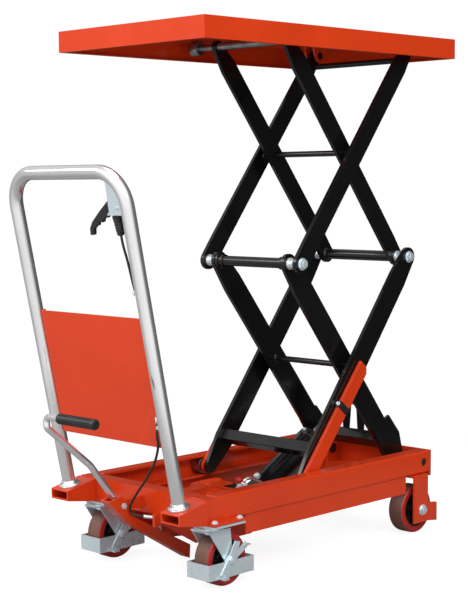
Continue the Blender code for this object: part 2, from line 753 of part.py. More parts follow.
def brake_frame(side, y, axle):
    """Total-brake band around the wheel, hung on the axle, with its foot tongue and lever."""
    front, rear = axle.x - 0.0715, axle.x + 0.0750
    z = (AXLE_Z - 0.0385, AXLE_Z - 0.0015)
    band = block((front, rear), (y - 0.036, y + 0.036), z)
    inside = block((front + 0.003, rear - 0.003), (y - 0.033, y + 0.033), (z[0] - 0.01, z[1] + 0.01))
    ear = hull(
        circle_points(flat(axle), 0.0125, 18)
        + [(axle.x - 0.024, z[1] - 0.002), (axle.x + 0.024, z[1] - 0.002), (axle.x, z[1] - 0.010)]
    )
    ears = [prism(ear, (y + t * 0.0331, y + t * 0.0359)) for t in (1, -1)]
    tongue = hull(
        circle_points(flat(axle), 0.0105, 16)
        + [(axle.x - 0.034, AXLE_Z - 0.030), (axle.x - 0.022, AXLE_Z - 0.042)]
    )
    lever = hull(
        circle_points(flat(axle), 0.0105, 16)
        + [(axle.x + 0.012, AXLE_Z + 0.043), (axle.x + 0.028, AXLE_Z + 0.039)]
    )
    hook = hull(
        circle_points(flat(axle), 0.0080, 16)
        + [(axle.x + 0.045, AXLE_Z + 0.036), (axle.x + 0.055, AXLE_Z + 0.026)]
    )
    outside = [prism(o, (y - 0.0357, y - 0.0387)) for o in (tongue, lever, hook)]
    foot = block((axle.x - 0.036, axle.x - 0.020), (y - 0.050, y - 0.0357), (AXLE_Z - 0.040, AXLE_Z - 0.036))
    pad = block((axle.x + 0.040, axle.x + 0.054), (y - 0.047, y - 0.0357), (AXLE_Z + 0.028, AXLE_Z + 0.031))
    hole = pin(axle, (y - 0.060, y + 0.060), 0.0066, 16)
    frame = piece(f"brake_frame_{side}", band, "zinc_plate", pivot=axle, cut=[inside])
    combine(frame, ears + outside + [foot, pad], "UNION")
    combine(frame, [hole], "DIFFERENCE")


def fixed_wheels():
    for side, s in SIDES.items():
        y = s * FIXED_WHEEL_Y
        axle = Vector((FIXED_WHEEL_X, y, AXLE_Z))
        x = (FIXED_WHEEL_X - 0.034, FIXED_WHEEL_X + 0.024)
        top = (RAIL_Z - 0.0065, RAIL_Z - 0.0005)
        bridge = block(x, (s * 0.1500, s * (HALF + 0.012)), top)
        low = AXLE_Z - 0.0325
        plate = [
            (x[0], top[1] + 0.0001),
            (x[0], low),
            (x[1], low),
            (FIXED_WHEEL_X + 0.062, AXLE_Z - 0.0375),
            (FIXED_WHEEL_X + 0.062, AXLE_Z + 0.0115),
            (x[1], AXLE_Z + 0.0165),
            (x[1], top[1] + 0.0001),
        ]
        outer_leg = prism(plate, (s * (HALF + 0.0065), s * (HALF + 0.0120)))
        inner = hull(circle_points(flat(axle), 0.016, 18) + [(x[0], top[0] + 0.002), (x[1], top[0] + 0.002)])
        inner_leg = prism(inner, (s * 0.1500, s * 0.1545))
        axle_pin = pin(axle, (s * 0.1480, s * (HALF + 0.0165)), 0.006, 16)
        piece(
            f"wheel_bracket_{side}", bridge, "orange_paint", add=[outer_leg, inner_leg, axle_pin]
        )
        piece(f"fixed_tyre_{side}", tyre_shape(axle), "tread_polyurethane", pivot=axle)
        piece(f"fixed_hub_{side}", hub_shape(axle, 0.0310), "hub_plastic", pivot=axle)


# ---- scissor arms ------------------------------------------------------------
def lower_inner_arms():
    """Lower stage, inner pair: hinged on the chassis at the front."""
    outline = link_outline(BASE_PIVOT, MID_REAR, LOWER_ARM_WIDTH, (0.0220, 0.0240), (0.040, 0.075))

    def local(along, across):
        return flat(BASE_PIVOT + INNER_DIR * along + INNER_NORMAL * across)

    doubler = hull(
        circle_points(flat(BASE_PIVOT), 0.0220, 18)
        + [local(0.010, 0.0300), local(0.052, 0.0475), local(0.119, 0.0440), local(0.135, -0.0275)]
        + [local(0.050, -0.0305)]
    )
    for side, s in SIDES.items():
        arm = prism(outline, span(s, INNER))
        plate = prism(doubler, (s * (INNER[1] - 0.001), s * (INNER[1] + 0.006)))
        holes = [
            pin(BASE_PIVOT, through(s, INNER), 0.0105),
            pin(MID_REAR, through(s, INNER), 0.0105),
            pin(LOWER_CENTER, through(s, INNER), 0.0078, 16),
        ]
        piece(f"lower_inner_arm_{side}", arm, "black_paint", pivot=BASE_PIVOT, add=[plate], cut=holes)


def lower_inner_crossbar():
    """Box tube between the lower inner arms with the two ram lugs and their pin."""
    origin = BASE_PIVOT + INNER_DIR * 0.0639
    half = CROSSBAR / 2
    end = INNER[0] - GAP
    tube = frame_block(origin, INNER_DIR, INNER_NORMAL, (-half, half), (-half, half), (-end, end))
    inside = half - 0.003
    hollow = frame_block(
        origin, INNER_DIR, INNER_NORMAL, (-inside, inside), (-inside, inside), (-end - 0.01, end + 0.01)
    )
    foot = [flat(origin + INNER_DIR * a + INNER_NORMAL * n) for a, n in ((-half, half - 0.002), (half, half - 0.002))]
    outline = hull(circle_points(flat(ROD_PIN), 0.0190, 20) + foot)
    lugs = [prism(outline, (s * 0.0215, s * 0.0290)) for s in SIDES.values()]
    shaft = pin(ROD_PIN, (-0.0310, 0.0310), 0.008)
    bar = piece("lower_inner_crossbar", tube, "black_paint", pivot=BASE_PIVOT, cut=[hollow])
    combine(bar, lugs + [shaft], "UNION")


def shaft_profile(steps):
    """A turned bar symmetric about its middle, from (radius, half-length) steps outward."""
    right, previous = [], 0.0
    for radius, reach in steps:
        right += [(radius, previous), (radius, reach)]
        previous = reach
    right = right[1:]
    left = [(r, -a) for r, a in reversed(right)]
    return [(0.0, -previous)] + left + right + [(0.0, previous)]


def cross_shaft(name, center, steps, finish, pivot, segments=16):
    shape = turned(shaft_profile(steps), center, (0.0, 1.0, 0.0), segments)
    piece(name, shape, finish, pivot=pivot)


def lower_inner_shafts():
    end = INNER[0] - GAP
    steps = [(0.013, 0.096), (0.016, end), (0.010, OUTER[1] + 0.0010)]
    cross_shaft("rear_knuckle_shaft", MID_REAR, steps, "black_paint", BASE_PIVOT)
    steps = [(0.0075, OUTER[1] + 0.0005)]
    cross_shaft("lower_center_rod", LOWER_CENTER, steps, "black_paint", BASE_PIVOT, 16)


def lower_outer_arms():
    """Lower stage, outer pair: a stub axle for the base roller, hinged at the lower centre."""
    outline = link_outline(BASE_ROLL, MID_FRONT, LOWER_ARM_WIDTH, (0.0180, 0.0250), (0.082, 0.070))
    for side, s in SIDES.items():
        arm = prism(outline, span(s, OUTER))
        stub = pin(BASE_ROLL, (s * (OUTER[0] + 0.002), s * (ROLLER_LAYER[1] + 0.0006)), 0.008)
        holes = [
            pin(MID_FRONT, through(s, OUTER), 0.0105),
            pin(LOWER_CENTER, through(s, OUTER), 0.0079, 16),
        ]
        name = f"lower_outer_arm_{side}"
        piece(name, arm, "black_paint", pivot=LOWER_CENTER, add=[stub], cut=holes)


def lower_outer_crossbar():
    origin = BASE_ROLL + OUTER_DIR * 0.0919
    normal = Vector((-OUTER_DIR.z, 0.0, OUTER_DIR.x))
    half, end = CROSSBAR / 2, OUTER[0] - GAP
    tube = frame_block(origin, OUTER_DIR, normal, (-half, half), (-half, half), (-end, end))
    inside = half - 0.003
    hollow = frame_block(
        origin, OUTER_DIR, normal, (-inside, inside), (-inside, inside), (-end - 0.01, end + 0.01)
    )
    piece("lower_outer_crossbar", tube, "black_paint", pivot=LOWER_CENTER, cut=[hollow])


def upper_outer_arms():
    """Upper stage, outer pair: from the rear knuckle to the table's lugs, each with a stub pin."""
    outline = link_outline(MID_REAR, TOP_PIVOT, UPPER_ARM_WIDTH, (0.0240, 0.0170), (0.050, 0.062))
    for side, s in SIDES.items():
        arm = prism(outline, span(s, OUTER))
        stub = pin(TOP_PIVOT, (s * (OUTER[0] - 0.0148), s * (OUTER[1] + 0.0148)), 0.010)
        holes = [
            pin(MID_REAR, through(s, OUTER), 0.0105),
            pin(UPPER_CENTER, through(s, OUTER), 0.0078, 16),
        ]
        piece(f"upper_outer_arm_{side}", arm, "black_paint", pivot=MID_REAR, add=[stub], cut=holes)


def upper_outer_shafts():
    place = TOP_PIVOT - OUTER_DIR * 0.039
    cross_shaft("upper_tie_rod", place, [(0.0075, OUTER[0] - GAP)], "black_paint", MID_REAR)
    steps = [(0.0075, OUTER[1] + 0.0005)]
    cross_shaft("upper_center_rod", UPPER_CENTER, steps, "black_paint", MID_REAR, 16)


def upper_inner_arms():
    """Upper stage, inner pair: from the front knuckle to the table's rollers."""
    outline = link_outline(MID_FRONT, TOP_ROLL, UPPER_ARM_WIDTH, (0.0230, 0.0160), (0.050, 0.062))
    for side, s in SIDES.items():
        arm = prism(outline, span(s, INNER))
        holes = [
            pin(MID_FRONT, through(s, INNER), 0.0105),
            pin(TOP_ROLL, through(s, INNER), 0.0083),
            pin(UPPER_CENTER, through(s, INNER), 0.0079, 16),
        ]
        piece(f"upper_inner_arm_{side}", arm, "black_paint", pivot=UPPER_CENTER, cut=holes)


def upper_inner_shafts():
    end = INNER[0] - GAP
    steps = [(0.014, end), (0.010, OUTER[1] + 0.0010)]
    cross_shaft("front_knuckle_shaft", MID_FRONT, steps, "black_paint", UPPER_CENTER)
    steps = [(0.010, end), (0.008, ROLLER_LAYER[1] + 0.0006)]
    cross_shaft("table_roller_shaft", TOP_ROLL, steps, "dark_steel", UPPER_CENTER)


def rollers():
    for kind, center, diameter in (("base", BASE_ROLL, BASE_ROLLER), ("table", TOP_ROLL, TABLE_ROLLER)):
        radius = diameter / 2
        for side, s in SIDES.items():
            a, b = ROLLER_LAYER
            profile = [
                (0.0085, a),
                (radius - 0.0012, a),
                (radius, a + 0.0012),
                (radius, b - 0.0012),
                (radius - 0.0012, b),
                (0.0085, b),
            ]
            pivot = center + Vector((0.0, s * (a + b) / 2, 0.0))
            shape = turned(profile, (center.x, 0.0, center.z), (0.0, s, 0.0), 24)
            piece(f"{kind}_roller_{side}", shape, "dark_steel", pivot=pivot)


def safety_bars():
    """Flat bars on the base roller axles that swing over to block the rollers."""
    along = Vector((math.cos(SAFETY_BAR_ANGLE), 0.0, math.sin(SAFETY_BAR_ANGLE)))
    normal = Vector((-along.z, 0.0, along.x))
    half = SAFETY_BAR_WIDTH / 2
    tip = BASE_ROLL + along * SAFETY_BAR_LENGTH
    points = circle_points(flat(BASE_ROLL), half, 18)
    points += [flat(tip + normal * half), flat(tip - along * 0.014 - normal * half)]
    points.append(flat(tip - normal * (half - 0.012)))
    outline = hull(points)
    for side, s in SIDES.items():
        bar = prism(outline, span(s, BAR_LAYER))
        hole = pin(BASE_ROLL, through(s, BAR_LAYER), 0.0085)
        pivot = BASE_ROLL + Vector((0.0, s * sum(BAR_LAYER) / 2, 0.0))
        piece(f"safety_bar_{side}", bar, "orange_paint", pivot=pivot, cut=[hole])


def table():
    """Folded tray: sheet, skirt with a return lip, and the front pivot lugs."""
    half_x, half_y = TABLE_LENGTH / 2, TABLE_WIDTH / 2
    low = TABLE_TOP - TABLE_DEPTH
    shell = block((-half_x, half_x), (-half_y, half_y), (low, TABLE_TOP))
    wall, lip = 0.0025, 0.013
    pocket = block(
        (-half_x + wall, half_x - wall),
        (-half_y + wall, half_y - wall),
        (low + 0.0025, TABLE_TOP - TABLE_SHEET),
    )
    mouth = block((-half_x + lip, half_x - lip), (-half_y + lip, half_y - lip), (low - 0.01, low + 0.01))
    top = TABLE_TOP - TABLE_SHEET + 0.001
    lug = hull(
        circle_points(flat(TOP_PIVOT), 0.0185, 16) + [(FIXED_X - 0.026, top), (FIXED_X + 0.026, top)]
    )
    lugs = []
    for s in SIDES.values():
        lugs.append(prism(lug, (s * (OUTER[0] - 0.014), s * (OUTER[0] - 0.008))))
        lugs.append(prism(lug, (s * (OUTER[1] + 0.008), s * (OUTER[1] + 0.014))))
    hole = pin(TOP_PIVOT, (-0.200, 0.200), 0.0104)
    table_piece = piece("table", shell, "orange_paint", pivot=TOP_PIVOT, cut=[pocket, mouth])
    combine(table_piece, lugs, "UNION")
    combine(table_piece, [hole], "DIFFERENCE")


# ---- hydraulics and pedal ------------------------------------------------------
def cylinder_barrel():
    radius = BARREL_DIAMETER / 2
    bore, gland = radius - 0.006, ROD_DIAMETER / 2 + 0.0005
    profile = [
        (0.0, 0.022),
        (radius - 0.008, 0.022),
        (radius, 0.030),
        (radius, 0.268),
        (radius + 0.0015, 0.268),
        (radius + 0.0015, 0.284),
        (radius - 0.006, 0.292),
        (gland, 0.292),
        (gland, 0.272),
        (bore, 0.272),
        (bore, 0.046),
        (0.0, 0.046),
    ]
    shape = turned(profile, BARREL_PIN, RAM_DIR, 24)
    neck = [flat(BARREL_PIN + RAM_DIR * 0.030 + Vector((-RAM_DIR.z, 0.0, RAM_DIR.x)) * t) for t in (-0.015, 0.015)]
    eye = prism(hull(circle_points(flat(BARREL_PIN), 0.0165, 20) + neck), (-0.018, 0.018))
    hole = pin(BARREL_PIN, (-0.030, 0.030), 0.0083)
    piece("cylinder_barrel", shape, "black_paint", pivot=BARREL_PIN, add=[eye], cut=[hole])


def piston_rod():
    radius = ROD_DIAMETER / 2
    end = RAM_LENGTH - 0.018
    profile = [
        (0.0, 0.175),
        (radius, 0.175),
        (radius, 0.232),
        (BARREL_DIAMETER / 2 - 0.0066, 0.232),
        (BARREL_DIAMETER / 2 - 0.0066, 0.252),
        (radius, 0.252),
        (radius, end),
        (0.0, end),
    ]
    shape = turned(profile, BARREL_PIN, RAM_DIR, 20)
    eye = pin(ROD_PIN, (-0.0190, 0.0190), 0.0250, 22)
    hole = pin(ROD_PIN, (-0.030, 0.030), 0.0176, 20)
    piece("piston_rod", shape, "bright_chrome", pivot=ROD_PIN, add=[eye], cut=[hole])


def pedal():
    """Foot lever: folded channel on its pivot pin, bent rod and rubber grip."""
    x, z = PEDAL_PIVOT.x, PEDAL_PIVOT.z
    outline = [
        (x - 0.0449, z + 0.0151),
        (x + 0.0171, z - 0.0453),
        (x + 0.2087, z - 0.1620),
        (x + 0.2110, z - 0.1290),
        (x + 0.1167, z - 0.0777),
        (x + 0.0305, z - 0.0309),
        (x + 0.0175, z - 0.0130),
        (x + 0.0140, z + 0.0090),
        (x - 0.0085, z + 0.0243),
    ]
    inner = [
        (x - 0.0480, z + 0.0240),
        (x - 0.0392, z + 0.0152),
        (x + 0.0192, z - 0.0416),
        (x + 0.2130, z - 0.1600),
        (x + 0.2130, z - 0.1200),
        (x + 0.1167, z - 0.0600),
        (x + 0.0400, z + 0.0200),
        (x - 0.0100, z + 0.0500),
    ]
    half = PEDAL_ARM_WIDTH / 2
    channel = prism(outline, (-half, half))
    trough = prism(inner, (-half + 0.004, half - 0.004))
    pivot_pin = pin(PEDAL_PIVOT, (-half - 0.0035, half + 0.0035), 0.005, 16)
    pusher = pin((x + 0.1155, 0.0, z - 0.0977), (-half + 0.002, half - 0.002), 0.005)
    arm = piece("pedal_arm", channel, "orange_paint", pivot=PEDAL_PIVOT, cut=[trough])
    combine(arm, [pivot_pin, pusher], "UNION")

    start = Vector((x - 0.0185, 0.0, z + 0.0215))
    knee = Vector((x - 0.0865, 0.0, z + 0.1065))
    elbow = Vector((x - PEDAL_REACH, 0.0, z + 0.2080))
    turn = Vector((x - PEDAL_REACH, 0.0, z + 0.2330))
    grip_start, grip_end = PEDAL_GRIP_RANGE
    tip = Vector((x - PEDAL_REACH, 0.028 - grip_end, z + 0.2330))
    path = [start]
    path += bend(knee, start, elbow, 0.060, 3)
    path += bend(elbow, knee, turn, 0.012, 3)
    path += bend(turn, elbow, tip, 0.012, 3)
    path.append(tip)
    rod = swept(path, PEDAL_ROD / 2, 4)
    piece("pedal_rod", rod, "bright_chrome", pivot=PEDAL_PIVOT)

    radius, bore = PEDAL_GRIP / 2, PEDAL_ROD / 2 + 0.0003
    profile = [
        (bore, grip_start),
        (radius - 0.001, grip_start),
        (radius, grip_start + 0.004),
        (radius, grip_end - 0.006),
        (radius - 0.003, grip_end),
        (0.0, grip_end),
        (0.0, grip_end - 0.026),
        (bore, grip_end - 0.026),
    ]
    grip = turned(profile, turn, (0.0, -1.0, 0.0), 20)
    piece("pedal_grip", grip, "black_rubber", pivot=PEDAL_PIVOT)


def pump_plunger():
    """Plunger with a round foot that the pedal arm's cross pin lifts into the pump head."""
    low = PEDAL_PIVOT.z - 0.0921
    foot = cylinder((PLUNGER_X, 0.0, low), (PLUNGER_X, 0.0, low + 0.004), 0.011)
    stem = cylinder((PLUNGER_X, 0.0, low + 0.002), (PLUNGER_X, 0.0, low + 0.0570), 0.008)
    piece("pump_plunger", foot, "bright_chrome", pivot=(PLUNGER_X, 0.0, low), add=[stem])


def center_on_origin():
    for collection in (TRUCK, CUTTERS):
        for obj in collection.objects:
            obj.location.x -= ORIGIN_X


side_rails()
handle_crossbeam()
front_crossbeam()
pivot_pins()
pump_tray()
pump_block()
handle_sockets()
handle_tube()
back_panel()
lever_bracket()
release_lever()
release_cable()
casters()
fixed_wheels()
lower_inner_arms()
lower_inner_crossbar()
lower_inner_shafts()
lower_outer_arms()
lower_outer_crossbar()
upper_outer_arms()
upper_outer_shafts()
upper_inner_arms()
upper_inner_shafts()
rollers()
safety_bars()
table()
cylinder_barrel()
piston_rod()
pedal()
pump_plunger()
center_on_origin()
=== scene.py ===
"""Looks of a double-scissor hydraulic lift table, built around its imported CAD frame.

Metres, +Z up, floor at Z=0, the push handle at -X. Every piece rides on a CAD body.
"""

import json
import math

import bmesh
import bpy
from mathutils import Matrix, Vector

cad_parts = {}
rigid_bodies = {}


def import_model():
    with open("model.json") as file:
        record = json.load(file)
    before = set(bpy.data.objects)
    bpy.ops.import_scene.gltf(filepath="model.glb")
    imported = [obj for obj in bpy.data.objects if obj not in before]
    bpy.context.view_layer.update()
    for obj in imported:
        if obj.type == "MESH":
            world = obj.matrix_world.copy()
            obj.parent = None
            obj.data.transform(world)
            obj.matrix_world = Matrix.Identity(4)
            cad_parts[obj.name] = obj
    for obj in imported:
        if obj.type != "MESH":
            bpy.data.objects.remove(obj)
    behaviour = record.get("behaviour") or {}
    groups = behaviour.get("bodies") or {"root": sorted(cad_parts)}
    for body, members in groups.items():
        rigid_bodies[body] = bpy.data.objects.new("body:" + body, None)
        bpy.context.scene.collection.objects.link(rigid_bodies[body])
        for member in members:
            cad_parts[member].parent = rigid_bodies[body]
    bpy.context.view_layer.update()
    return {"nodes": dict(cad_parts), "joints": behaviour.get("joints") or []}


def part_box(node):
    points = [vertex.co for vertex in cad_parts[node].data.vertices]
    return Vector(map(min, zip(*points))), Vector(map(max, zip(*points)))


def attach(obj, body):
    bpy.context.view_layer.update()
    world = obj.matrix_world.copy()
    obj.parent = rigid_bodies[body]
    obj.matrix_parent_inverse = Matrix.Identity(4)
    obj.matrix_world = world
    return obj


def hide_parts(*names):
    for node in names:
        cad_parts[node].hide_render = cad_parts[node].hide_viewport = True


for startup in list(bpy.data.objects):
    bpy.data.objects.remove(startup, do_unlink=True)

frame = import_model()
NODES = frame["nodes"]
JOINTS = {joint["name"]: joint for joint in frame["joints"]}
SIDES = {"left": 1.0, "right": -1.0}


def joint_at(name):
    return Vector(JOINTS[name]["pos_m"])


# ---- places shared with the frame --------------------------------------------
TABLE_LOW, TABLE_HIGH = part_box("table")
MIDDLE_X = (TABLE_LOW.x + TABLE_HIGH.x) / 2
BASE_PIVOT = joint_at("lift")
LOWER_CENTER = joint_at("lower_scissor")
MID_REAR = joint_at("rear_knuckle")
UPPER_CENTER = joint_at("upper_scissor")
TOP_PIVOT = joint_at("table_pivot")
BARREL_PIN = joint_at("ram_tilt")
RAM_DIR = Vector(JOINTS["ram_stroke"]["axis"])
PEDAL_PIVOT = joint_at("pump_pedal")
TIE_ROD = sum(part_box("upper_tie_rod"), Vector()) / 2
RAM_UP = Vector((-RAM_DIR.z, 0.0, RAM_DIR.x))
BASE_ROLL = Vector((MID_REAR.x, 0.0, BASE_PIVOT.z))
TOP_ROLL = Vector((MID_REAR.x, 0.0, TOP_PIVOT.z))
MID_FRONT = Vector((BASE_PIVOT.x, 0.0, MID_REAR.z))
RAIL_LOW, RAIL_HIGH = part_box("side_rail_left")
BEAM_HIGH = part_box("handle_crossbeam")[1]
RAIL_TOP = RAIL_HIGH.z
PUMP_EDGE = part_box("pump_block")[1].x
PUMP_DECK = RAIL_LOW.z + 0.0608
TANK_Y = 0.070
GRIP_CORNER = Vector((PEDAL_PIVOT.x - 0.2080, 0.0, PEDAL_PIVOT.z + 0.2330))

LEAN_UP = Vector((-0.207, 0.0, 1.0)).normalized()
LEAN_OUT = Vector((1.0, 0.0, 0.207)).normalized()
HANDLE_FOOT = Vector((MIDDLE_X - 0.491, 0.0, RAIL_TOP - 0.0157))
HANDLE_HALF_SPAN = 0.193
HANDLE_RADIUS = 0.016
HANDLE_BEND = 0.078
HANDLE_LENGTH = (0.950 - HANDLE_FOOT.z) / LEAN_UP.z
PANEL_TOP = (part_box("back_panel")[0].z + 0.0001 - HANDLE_FOOT.z) / LEAN_UP.z + 0.300
BOOT_TOP = HANDLE_LENGTH - 0.0971
CABLE_Y = -0.1705

# ---- sizes ---------------------------------------------------------------------
WHEEL_RADIUS = 0.0635
TYRE_HALF = 0.023
INNER_END = 0.1147  # ends of the bars welded between the inner arms
OUTER_FACE = 0.165  # outer faces of the outer arms
ROD_PIN_DISTANCE = 0.48456  # between the ram's two pins
BAR_ANGLE = math.radians(50.29)  # lean of the raised safety bars
STRAP_PLACE = 0.222  # from a safety bar's hinge to its strap
FLOOR_RADIUS = 1.7
FLOOR_GLOW = 0.87


def at(x, y, z):
    """A point given from the middle of the table."""
    return Vector((MIDDLE_X + x, y, z))


def on_handle(y, height, out=0.0):
    return HANDLE_FOOT + Vector((0.0, y, 0.0)) + LEAN_UP * height + LEAN_OUT * out


# ---- materials -----------------------------------------------------------------
def ramp(nodes, links, source, low, high):
    """A map from a 0.3-0.7 noise value to a range."""
    node = nodes.new("ShaderNodeMapRange")
    node.inputs["From Min"].default_value = 0.3
    node.inputs["From Max"].default_value = 0.7
    node.inputs["To Min"].default_value = low
    node.inputs["To Max"].default_value = high
    links.new(source, node.inputs["Value"])
    return node.outputs["Result"]


def noise(nodes, links, where, scale, detail=3.0, stretch=None):
    if stretch:
        mapping = nodes.new("ShaderNodeMapping")
        mapping.inputs["Scale"].default_value = stretch
        links.new(where, mapping.inputs["Vector"])
        where = mapping.outputs["Vector"]
    node = nodes.new("ShaderNodeTexNoise")
    node.inputs["Scale"].default_value = scale
    node.inputs["Detail"].default_value = detail
    links.new(where, node.inputs["Vector"])
    return node.outputs["Fac"]


def surface(
    name,
    color,
    dark,
    roughness,
    metallic=0.0,
    patch=9.0,
    grain=600.0,
    bump=0.03,
    stretch=None,
    sockets=None,
):
    """A Principled material: colour drifts from dark to color, roughness varies, grain bumps."""
    mat = bpy.data.materials.new(name)
    mat.use_nodes = True
    nodes, links = mat.node_tree.nodes, mat.node_tree.links
    shader = nodes["Principled BSDF"]
    where = nodes.new("ShaderNodeTexCoord").outputs["Object"]
    broad = noise(nodes, links, where, patch, 4.0)
    mix = nodes.new("ShaderNodeMix")
    mix.data_type = "RGBA"
    mix.inputs["A"].default_value = (*dark, 1.0)
    mix.inputs["B"].default_value = (*color, 1.0)
    links.new(ramp(nodes, links, broad, 0.0, 1.0), mix.inputs["Factor"])
    links.new(mix.outputs["Result"], shader.inputs["Base Color"])
    fine = noise(nodes, links, where, grain, 2.0, stretch)
    smudge = noise(nodes, links, where, patch * 5.0, 5.0)
    links.new(ramp(nodes, links, smudge, *roughness), shader.inputs["Roughness"])
    relief = nodes.new("ShaderNodeBump")
    relief.inputs["Strength"].default_value = bump
    relief.inputs["Distance"].default_value = 0.0002
    links.new(fine, relief.inputs["Height"])
    links.new(relief.outputs["Normal"], shader.inputs["Normal"])
    shader.inputs["Metallic"].default_value = metallic
    for socket, value in (sockets or {}).items():
        shader.inputs[socket].default_value = value
    mat.diffuse_color = (*color, 1.0)
    return mat


def make_materials():
    """Each finish: colour, darker colour, and the range of its roughness."""
    return {
        "orange_paint": surface(
            "orange_enamel", (0.69, 0.052, 0.0090), (0.61, 0.042, 0.0070), (0.12, 0.18),
            patch=4.0, grain=500.0, bump=0.025,
            sockets={"Specular IOR Level": 0.32, "Coat Weight": 0.08, "Coat Roughness": 0.05},
        ),
        "black_paint": surface(
            "black_enamel", (0.0060, 0.0058, 0.0058), (0.0035, 0.0034, 0.0034), (0.18, 0.26),
            patch=4.0, grain=500.0, bump=0.010,
            sockets={"Specular IOR Level": 0.40, "Coat Weight": 0.12, "Coat Roughness": 0.06},
        ),
        "zinc_plate": surface(
            "zinc_plating", (0.76, 0.87, 0.92), (0.68, 0.79, 0.84), (0.24, 0.34),
            metallic=0.55, patch=8.0, grain=420.0, bump=0.015,
        ),
        "bright_chrome": surface(
            "polished_chrome", (0.86, 0.86, 0.86), (0.76, 0.76, 0.77), (0.08, 0.15),
            metallic=0.85, patch=7.0, grain=500.0, bump=0.02,
        ),
        "dark_steel": surface(
            "machined_steel", (0.40, 0.40, 0.41), (0.25, 0.25, 0.26), (0.26, 0.40),
            metallic=1.0, patch=30.0, grain=260.0, bump=0.12, stretch=(1.0, 12.0, 1.0),
        ),
        "tread_polyurethane": surface(
            "brown_polyurethane", (0.19, 0.082, 0.056), (0.12, 0.050, 0.036), (0.40, 0.56),
            patch=18.0, grain=320.0, bump=0.15, sockets={"Subsurface Weight": 0.05},
        ),
        "hub_plastic": surface(
            "moulded_plastic", (0.010, 0.010, 0.011), (0.006, 0.006, 0.006), (0.34, 0.50),
            patch=30.0, grain=700.0, bump=0.15,
        ),
        "black_rubber": surface(
            "soft_rubber", (0.012, 0.012, 0.013), (0.007, 0.007, 0.007), (0.34, 0.50),
            patch=30.0, grain=800.0, bump=0.25,
        ),
        "tyre_side": surface(
            "red_tyre_side", (0.50, 0.020, 0.016), (0.34, 0.014, 0.012), (0.34, 0.48),
            patch=24.0, grain=320.0, bump=0.12,
        ),
        # Very dark brown steel for the base pivot pin ends: painted shade of the recessed pin holes in the
        # rails.
        "painted_shade_steel": surface(
            "painted_shade_steel", (0.060, 0.040, 0.036), (0.030, 0.022, 0.020), (0.30, 0.45),
            metallic=0.6, patch=40.0, grain=300.0, bump=0.15,
        ),
        "valve_red": surface(
            "red_cap", (0.55, 0.015, 0.012), (0.42, 0.010, 0.010), (0.30, 0.42), patch=40.0
        ),
    }


MATERIALS = make_materials()


# ---- shapes -------------------------------------------------------------------
def own(obj, body, finish, replaces=()):
    """Links a piece, gives it its finish and lets it ride on its body."""
    if obj.name not in bpy.context.scene.collection.objects:
        bpy.context.scene.collection.objects.link(obj)
    obj.data.materials.clear()
    obj.data.materials.append(MATERIALS[finish])
    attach(obj, body)
    if replaces:
        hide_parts(*replaces)
    return obj


def from_bmesh(name, bm, crease=32.0):
    """An object from a bmesh, shaded smooth but for edges sharper than the crease angle."""
    bmesh.ops.remove_doubles(bm, verts=bm.verts, dist=0.000002)
    bmesh.ops.recalc_face_normals(bm, faces=bm.faces)
    mesh = bpy.data.meshes.new(name)
    bm.to_mesh(mesh)
    bm.free()
    mesh.shade_smooth()
    mesh.set_sharp_from_angle(angle=math.radians(crease))
    return bpy.data.objects.new(name, mesh)


def spun(bm, profile, origin, axis, segments):
    """Adds a (radius, offset) profile turned about an axis; it is closed on the axis or as a ring."""
    closed = profile[0][0] > 0.0
    ring = [bm.verts.new((r, 0.0, a)) for r, a in profile]
    edges = [bm.edges.new(pair) for pair in zip(ring, ring[1:])]
    if closed:
        edges.append(bm.edges.new((ring[-1], ring[0])))
    before = set(bm.verts) - set(ring)
    bmesh.ops.spin(
        bm, geom=ring + edges, cent=(0, 0, 0), axis=(0, 0, 1),
        angle=2 * math.pi, steps=segments, use_merge=True,
    )
    turn = Vector((0, 0, 1)).rotation_difference(Vector(axis)).to_matrix().to_4x4()
    fresh = [v for v in bm.verts if v not in before]
    bmesh.ops.transform(bm, matrix=Matrix.Translation(origin) @ turn, verts=fresh)


def lathe(name, profile, origin, axis, segments=48, crease=32.0):
    """An object turned from a (radius, offset) profile."""
    bm = bmesh.new()
    spun(bm, profile, origin, axis, segments)
    return from_bmesh(name, bm, crease)


def rounded(profile, radius=0.0008):
    """Chamfers the corners of a profile whose points are further apart than twice the radius."""
    points = [Vector(p) for p in profile]
    result = [tuple(points[0])]
    for before, here, after in zip(points, points[1:], points[2:]):
        to_before, to_after = before - here, after - here
        if min(to_before.length, to_after.length) < 2.2 * radius:
            result.append(tuple(here))
            continue
        result.append(tuple(here + to_before.normalized() * radius))
        result.append(tuple(here + to_after.normalized() * radius))
    return result + [tuple(points[-1])]


def swept(name, points, radii, resolution=8):
    """A round bar along a path, as a mesh; radii is one value or one for each point."""
    curve = bpy.data.curves.new(name, "CURVE")
    curve.dimensions = "3D"
    curve.bevel_resolution = resolution
    curve.use_fill_caps = True
    line = curve.splines.new("POLY")
    line.points.add(len(points) - 1)
    radii = [radii] * len(points) if isinstance(radii, float) else radii
    curve.bevel_depth = radii[0]
    for knot, point, radius in zip(line.points, points, radii):
        knot.co = (*point, 1.0)
        knot.radius = radius / radii[0]
    guide = bpy.data.objects.new(name, curve)
    bpy.context.scene.collection.objects.link(guide)
    depsgraph = bpy.context.evaluated_depsgraph_get()
    mesh = bpy.data.meshes.new_from_object(guide.evaluated_get(depsgraph))
    bpy.data.objects.remove(guide, do_unlink=True)
    bm = bmesh.new()
    bm.from_mesh(mesh)
    bpy.data.meshes.remove(mesh)
    return from_bmesh(name, bm, 50.0)


